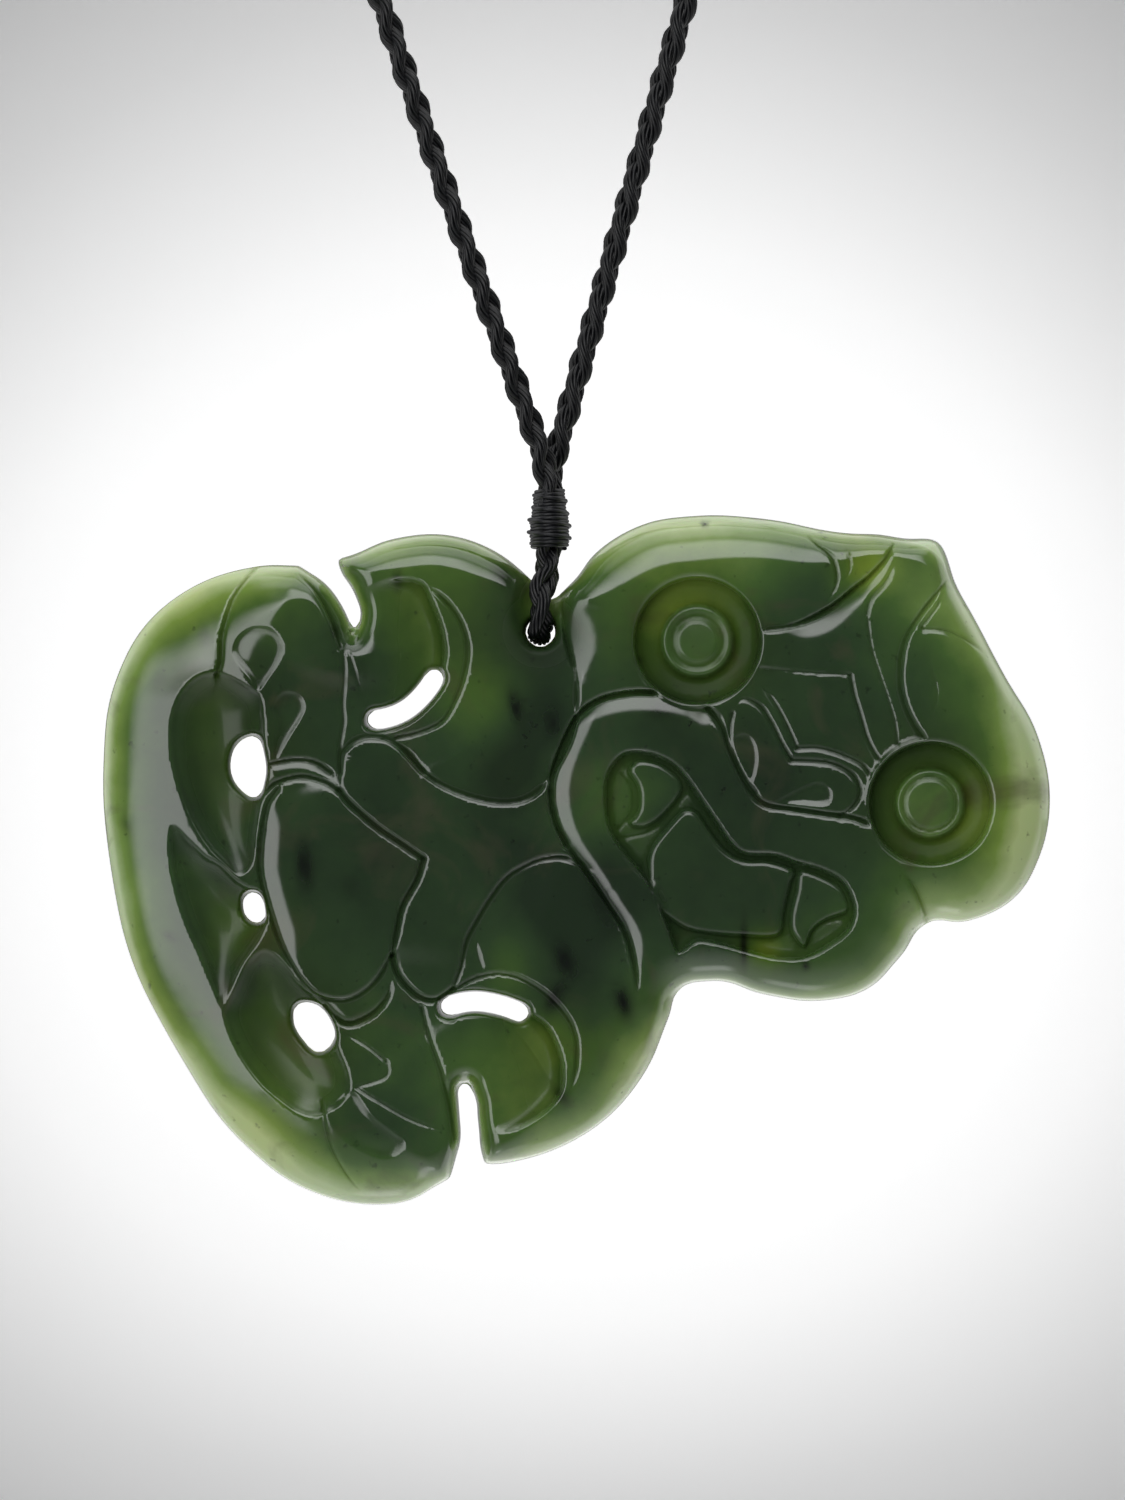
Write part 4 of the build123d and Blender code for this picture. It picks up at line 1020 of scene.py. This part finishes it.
def tubes(name, lines, radius, roundness=1):
    """One mesh of round threads, one along each line of points."""
    curve = bpy.data.curves.new(name, "CURVE")
    curve.dimensions = "3D"
    curve.bevel_depth = radius
    curve.bevel_resolution = roundness
    curve.use_fill_caps = True
    for line in lines:
        spline = curve.splines.new("POLY")
        spline.points.add(len(line) - 1)
        flat = np.concatenate([line, np.ones((len(line), 1))], axis=1)
        spline.points.foreach_set("co", flat.ravel())
    mesh = mesh_of_curve(curve)
    mesh.name = name
    mesh.polygons.foreach_set("use_smooth", [True] * len(mesh.polygons))
    return new_object(name, mesh)


def whole_route():
    """The necklace's centre line: from the nape down the left side, through the stone and back up."""
    line = route_points(LEFT_ROUTE + RIGHT_ROUTE[-2::-1])
    return even_steps(line, step=0.34 * MM)


def build_strand(settings, number):
    """One of the plait's three strands, a bundle of waxed threads."""
    points, run = whole_route()
    wide, out = frames_along(points)
    phase = 2 * math.pi * (run / settings.lay_length + number / 3)
    sideways = settings.sway * np.sin(phase)
    forwards = settings.dip * np.sin(2 * phase)
    middle = points + wide * sideways[:, None] + out * forwards[:, None]
    lines = []
    for k in range(settings.threads):
        turn = 2 * math.pi * (k / settings.threads + run / settings.twist)
        across, ahead = settings.bundle * np.cos(turn), settings.bundle * np.sin(turn)
        lines.append(middle + wide * across[:, None] + out * ahead[:, None])
    return tubes(f"plait_strand_{number + 1}", lines, settings.thread / 2)


class HEITIKI_OT_stone(bpy.types.Operator):
    """Carve and polish the greenstone"""
    bl_idname = "heitiki.stone"
    bl_label = "Greenstone"

    def execute(self, context):
        settings = context.scene.heitiki_stone
        plan = Plan()
        bm, *edges = cut_edges()
        outline, openings = edge_fields(plan, *edges)
        width = rounding_field(plan, 2)
        front = blurred(relief(plan), 2)
        back = saddle(plan, np.full(plan.x.shape, BACK))
        piece = new_object("carved_greenstone", slab(bm))
        remesh = piece.modifiers.new("Remesh", "REMESH")
        remesh.mode = "VOXEL"
        remesh.voxel_size = settings.skin
        apply_modifiers(piece)
        crowd_points(piece.data, plan, outline, openings, width)
        lay_skin(piece.data, plan, outline, openings, width, front, back)
        thin_out(piece, plan, outline, openings, settings.most_faces)
        # The stone's thickness, lessened near the rims, lightens the colour as a painted glow of light coming
        # through the thin stone
        thickness_and_glow = thickness_field(outline, openings, width, front, back) / FULL_THICKNESS
        thickness_and_glow -= rounding_field(plan, 3) * np.exp(-(np.maximum(outline, 0) / GLOW_REACH) ** 2)
        _, y, _ = points_of(piece.data).T
        marked = np.where(y < HANG.y / MM + BACK_EDGE, 1.0, BACK_MARKS)
        for name, field, share in (
            ("thickness_and_glow", thickness_and_glow, 1.0),
            ("dull_and_shaded", dull_and_shade_field(plan, front), y < HANG.y / MM),
            ("fleck", fleck_field(plan), marked),
            ("tone_and_painted_light", tone_and_light_field(plan, 3), marked),
            ("yellow", tone_and_light_field(plan, 4), marked),
        ):
            write_attribute(piece.data, plan, name, field, share)
        piece.data.materials.append(polished_greenstone(settings))
        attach(piece, "pendant")
        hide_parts(STONE_NODE)
        return {"FINISHED"}


class HEITIKI_OT_plait(bpy.types.Operator):
    """Lay the three strands of the plaited cord"""
    bl_idname = "heitiki.plait"
    bl_label = "Plaited cord"

    def execute(self, context):
        settings = context.scene.heitiki_cord
        material = waxed_thread("waxed_black_thread", settings.colour, 0.34)
        for number in range(3):
            piece = build_strand(settings, number)
            piece.data.materials.append(material)
            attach(piece, "cord")
            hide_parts("plaited_cord_left", "plaited_cord_right")
        return {"FINISHED"}


def helix(low, high, pitch, centre, across, deep, axis):
    """Points of a hand-wound, uneven winding round an oval: axis 2 winds upwards, axis 0 along the nape."""
    turns = (high - low) / pitch
    points_a_turn = 40
    t = np.linspace(0, 2 * math.pi * turns, int(turns * points_a_turn))
    swell = 1 + 0.02 * np.sin(2.3 * t) + 0.015 * np.sin(0.71 * t)
    along = low + (high - low) * t / t[-1]
    a = centre[0] + across(along) * swell * np.cos(t)
    b = centre[1] + deep(along) * swell * np.sin(t)
    return np.stack([a, b, along], axis=1) if axis == 2 else np.stack([along, a, b], axis=1)


class HEITIKI_OT_bindings(bpy.types.Operator):
    """Wind the binding above the stone and the join at the nape"""
    bl_idname = "heitiki.bindings"
    bl_label = "Bindings"

    def execute(self, context):
        settings = context.scene.heitiki_cord
        material = waxed_thread("binding_thread", settings.whipping, 0.4)
        low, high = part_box("cord_binding")
        middle = (low + high) / 2
        radius = settings.binding_thread / 2
        half_wide, half_deep = (high.x - low.x) / 2 - radius, (high.y - low.y) / 2 - radius

        def swelling(z):
            share = (z - low.z) / (high.z - low.z)
            return np.interp(share, [0, 0.1, 0.5, 0.62, 1], [0.92, 1.16, 1.14, 1.0, 0.86])

        centre = (middle.x, middle.y)
        close_pitch, crossing_pitch = 0.85 * settings.binding_thread, 3.1 * settings.binding_thread
        turns = helix(
            low.z + radius, high.z - radius, close_pitch, centre,
            lambda z: half_wide * swelling(z), lambda z: half_deep * swelling(z), 2)
        wide_over, deep_over = half_wide + radius, half_deep + radius
        over = helix(
            low.z + 1.2 * MM, middle.z + 2.4 * MM, crossing_pitch, centre,
            lambda z: wide_over * swelling(z), lambda z: -deep_over * swelling(z), 2)
        piece = tubes("binding_winding", [turns, over], radius, 2)
        piece.data.materials.append(material)
        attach(piece, "cord")
        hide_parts("cord_binding")

        low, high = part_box("nape_join")
        ring = (high.z - low.z) / 2 - radius
        turns = helix(low.x + radius, high.x - radius, 0.95 * settings.binding_thread, (0.0, 0.0),
                      lambda x: ring * np.ones_like(x), lambda x: ring * np.ones_like(x), 0)
        join = tubes("nape_winding", [turns], radius, 2)
        join.data.materials.append(material)
        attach(join, "cord")
        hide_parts("nape_join")
        return {"FINISHED"}


def paper_with_painted_glow(settings):
    """Matt white studio paper with a painted glow on the wall behind the stone and a painted pool of light on
    the floor below it, both given off by the paper itself.
    """
    material, tree, shader = new_material("paper_with_painted_glow")
    place = add(tree, "ShaderNodeTexCoord").outputs["Object"]
    shader.inputs["Base Color"].default_value = linear(settings.backdrop)
    shader.inputs["Roughness"].default_value = 0.9
    glows = []
    for spot, reach, stops in (
        (WALL_GLOW, 1.0, [(0.0, "ffffff"), (0.2, "ffffff"), (0.28, "eeeeee"), (0.40, "bcbcbc"),
                          (0.52, "848484"), (1.0, "606060")]),
        (FLOOR_GLOW, 2.2, [(0.0, "ffffff"), (0.2, "ffffff"), (0.55, "6c6c6c"), (0.9, "000000")]),
    ):
        away = add(tree, "ShaderNodeVectorMath", {"operation": "DISTANCE", 0: place, 1: spot})
        near = add(tree, "ShaderNodeMapRange", {"Value": away.outputs["Value"], "From Max": reach})
        glows.append(add(tree, "ShaderNodeValToRGB", {"Fac": near.outputs[0]}, stops).outputs["Color"])
    both = add(tree, "ShaderNodeMix", {
        "data_type": "RGBA", "blend_type": "LIGHTEN", 0: 1.0, 6: glows[0], 7: glows[1]})
    # The bright patches are painted pools of light, emitted by the paper itself
    tree.links.new(both.outputs[2], shader.inputs["Emission Color"])
    shader.inputs["Emission Strength"].default_value = 0.9
    return material


def soft_edges(tree, soft):
    """Fades a panel's light in from its left, right, lower and upper edge, over shares of its size."""
    spot = add(tree, "ShaderNodeNewGeometry").outputs["Parametric"]
    place = add(tree, "ShaderNodeSeparateXYZ", {"Vector": spot})
    glow = 1.0
    for axis, edge, share in zip("XXYY", (0, 1, 0, 1), soft):
        fade = add(tree, "ShaderNodeMapRange", {
            "interpolation_type": "SMOOTHSTEP", "Value": place.outputs[axis], "From Min": edge,
            "From Max": abs(edge - share)})
        both = add(tree, "ShaderNodeMath", {"operation": "MULTIPLY", 0: glow, 1: fade.outputs[0]})
        glow = both.outputs[0]
    tree.links.new(glow, tree.nodes["Emission"].inputs["Strength"])


class HEITIKI_OT_studio(bpy.types.Operator):
    """Set up the pale sweep, the soft lights and the camera"""
    bl_idname = "heitiki.studio"
    bl_label = "Studio"

    def execute(self, context):
        settings = context.scene.heitiki_studio
        self.sweep(settings)
        self.lights(settings)
        self.room(context)
        self.camera(context, settings)
        return {"FINISHED"}

    def sweep(self, settings):
        """Floor and backdrop in one curved sheet."""
        bend, reach, wall_height = 0.5, WALL_BACK, 2.2
        bm = bmesh.new()
        front = bm.verts.new((-reach, FLOOR_FRONT, FLOOR))
        corner = bmesh.ops.extrude_vert_indiv(bm, verts=[front])["verts"]
        bmesh.ops.translate(bm, verts=corner, vec=(0, reach - bend - FLOOR_FRONT, 0))
        path = bmesh.ops.spin(
            bm, geom=corner, cent=(-reach, reach - bend, FLOOR + bend), axis=(1, 0, 0),
            angle=math.radians(90), steps=16, use_duplicate=False)
        top = [g for g in path["geom_last"] if isinstance(g, bmesh.types.BMVert)]
        rise = bmesh.ops.extrude_vert_indiv(bm, verts=top)["verts"]
        bmesh.ops.translate(bm, verts=rise, vec=(0, 0, wall_height))
        wide = bmesh.ops.extrude_edge_only(bm, edges=bm.edges[:])
        moved = [g for g in wide["geom"] if isinstance(g, bmesh.types.BMVert)]
        bmesh.ops.translate(bm, verts=moved, vec=(2 * reach, 0, 0))
        mesh = bpy.data.meshes.new("studio_sweep")
        bm.to_mesh(mesh)
        bm.free()
        mesh.polygons.foreach_set("use_smooth", [True] * len(mesh.polygons))
        mesh.materials.append(paper_with_painted_glow(settings))
        new_object("studio_sweep", mesh)

    def lights(self, settings):
        """Wide soft panels that face the stone: above the camera, to its left, overhead and below."""
        middle = Vector((HANG.x, HANG.y, HANG.z - 0.02))
        away = 0.6
        for name, turn, rise, size, brightness, soft in (
            # Name, degrees to the right and up from the camera's line, metres wide and high, brightness,
            # soft shares of the left, right, lower and upper edge
            ("overhead_panel", 0, 35, (0.6, 0.5), settings.overhead, (0.4, 0.4, 0.12, 0.3)),
            ("left_panel", -35, 0, (0.5, 0.62), settings.side, (0.35, 0.1, 0.3, 0.25)),
            ("ceiling_panel", 0, 72, (0.9, 0.55), 0.48 * settings.overhead, (0.3, 0.3, 0.4, 0.2)),
            ("low_panel", 10, -85, (0.35, 0.3), settings.low, (0.4, 0.4, 0.4, 0.4)),
        ):
            light = bpy.data.lights.new(name, "AREA")
            light.shape = "RECTANGLE"
            light.size, light.size_y = size
            light.energy = brightness * math.pi * size[0] * size[1]
            light.use_nodes = True
            soft_edges(light.node_tree, soft)
            lamp = new_object(name, light)
            a, b = math.radians(turn), math.radians(rise)
            way = Vector((math.sin(a) * math.cos(b), -math.cos(a) * math.cos(b), math.sin(b)))
            lamp.location = middle + away * way
            lamp.rotation_euler = (middle - lamp.location).to_track_quat("-Z", "Y").to_euler()

    def room(self, context):
        """A room that is pale behind the stone and below it, and dim in front of it."""
        world = bpy.data.worlds.new("room")
        world.use_nodes = True
        tree = world.node_tree
        way = add(tree, "ShaderNodeTexCoord").outputs["Generated"]
        split = add(tree, "ShaderNodeSeparateXYZ", {"Vector": way})
        tones = []
        for axis, first, last, stops in (
            ("Y", -0.35, 0.15, [(0.0, "3a3b3c"), (0.4, "4a4b4c"), (1.0, "f2f2f2")]),
            ("Z", -0.1, -1.0, [(0.0, "000000"), (0.4, "787878"), (1.0, "d0d0d0")]),
        ):
            near = add(tree, "ShaderNodeMapRange", {
                "Value": split.outputs[axis], "From Min": first, "From Max": last})
            tones.append(add(tree, "ShaderNodeValToRGB", {"Fac": near.outputs[0]}, stops).outputs["Color"])
        tone = add(tree, "ShaderNodeMix", {
            "data_type": "RGBA", "blend_type": "LIGHTEN", 0: 1.0, 6: tones[0], 7: tones[1]})
        seen = add(tree, "ShaderNodeLightPath").outputs["Is Camera Ray"]
        mixed = add(tree, "ShaderNodeMix", {
            "data_type": "RGBA", 0: seen, 6: tone.outputs[2], 7: linear("ececec")})
        tree.links.new(mixed.outputs[2], tree.nodes["Background"].inputs["Color"])
        context.scene.world = world
        context.scene.view_settings.view_transform = "Standard"

    def camera(self, context, settings):
        """Long lens straight in front of the stone, which lies at the given pixels of the picture."""
        picture_width, picture_height = 1125, 1500
        stone_left, stone_right, stone_top = 103, 1050, 515
        metres = (STONE_HIGH.x - STONE_LOW.x) / (stone_right - stone_left)
        data = bpy.data.cameras.new("camera")
        data.sensor_fit = "AUTO"
        data.lens = data.sensor_width * settings.distance / (picture_height * metres)
        middle_x = STONE_LOW.x + (picture_width / 2 - stone_left) * metres
        middle_z = STONE_HIGH.z - (picture_height / 2 - stone_top) * metres
        camera = new_object("camera", data)
        camera.location = (middle_x, HANG.y - settings.distance, middle_z)
        camera.rotation_euler = (math.radians(90), 0, 0)
        context.scene.camera = camera


class HEITIKI_PT_panel(bpy.types.Panel):
    """Buttons that build each part of the pendant"""
    bl_idname = "HEITIKI_PT_panel"
    bl_label = "Hei tiki"
    bl_space_type = "VIEW_3D"
    bl_region_type = "UI"
    bl_category = "Hei tiki"

    def draw(self, context):
        for group in (context.scene.heitiki_stone, context.scene.heitiki_cord, context.scene.heitiki_studio):
            for name in group.__annotations__:
                self.layout.prop(group, name)
        for kind in OPERATORS:
            self.layout.operator(kind.bl_idname)


GROUPS = {"heitiki_stone": StoneSettings, "heitiki_cord": CordSettings, "heitiki_studio": StudioSettings}
OPERATORS = (HEITIKI_OT_stone, HEITIKI_OT_plait, HEITIKI_OT_bindings, HEITIKI_OT_studio)


def register():
    for kind in (*GROUPS.values(), *OPERATORS, HEITIKI_PT_panel):
        bpy.utils.register_class(kind)
    for name, kind in GROUPS.items():
        setattr(bpy.types.Scene, name, bpy.props.PointerProperty(type=kind))


def unregister():
    for name in GROUPS:
        delattr(bpy.types.Scene, name)
    for kind in (HEITIKI_PT_panel, *OPERATORS, *GROUPS.values()):
        bpy.utils.unregister_class(kind)


def main():
    register()
    bpy.ops.heitiki.stone()
    bpy.ops.heitiki.plait()
    bpy.ops.heitiki.bindings()
    bpy.ops.heitiki.studio()


if __name__ == "__main__":
    main()
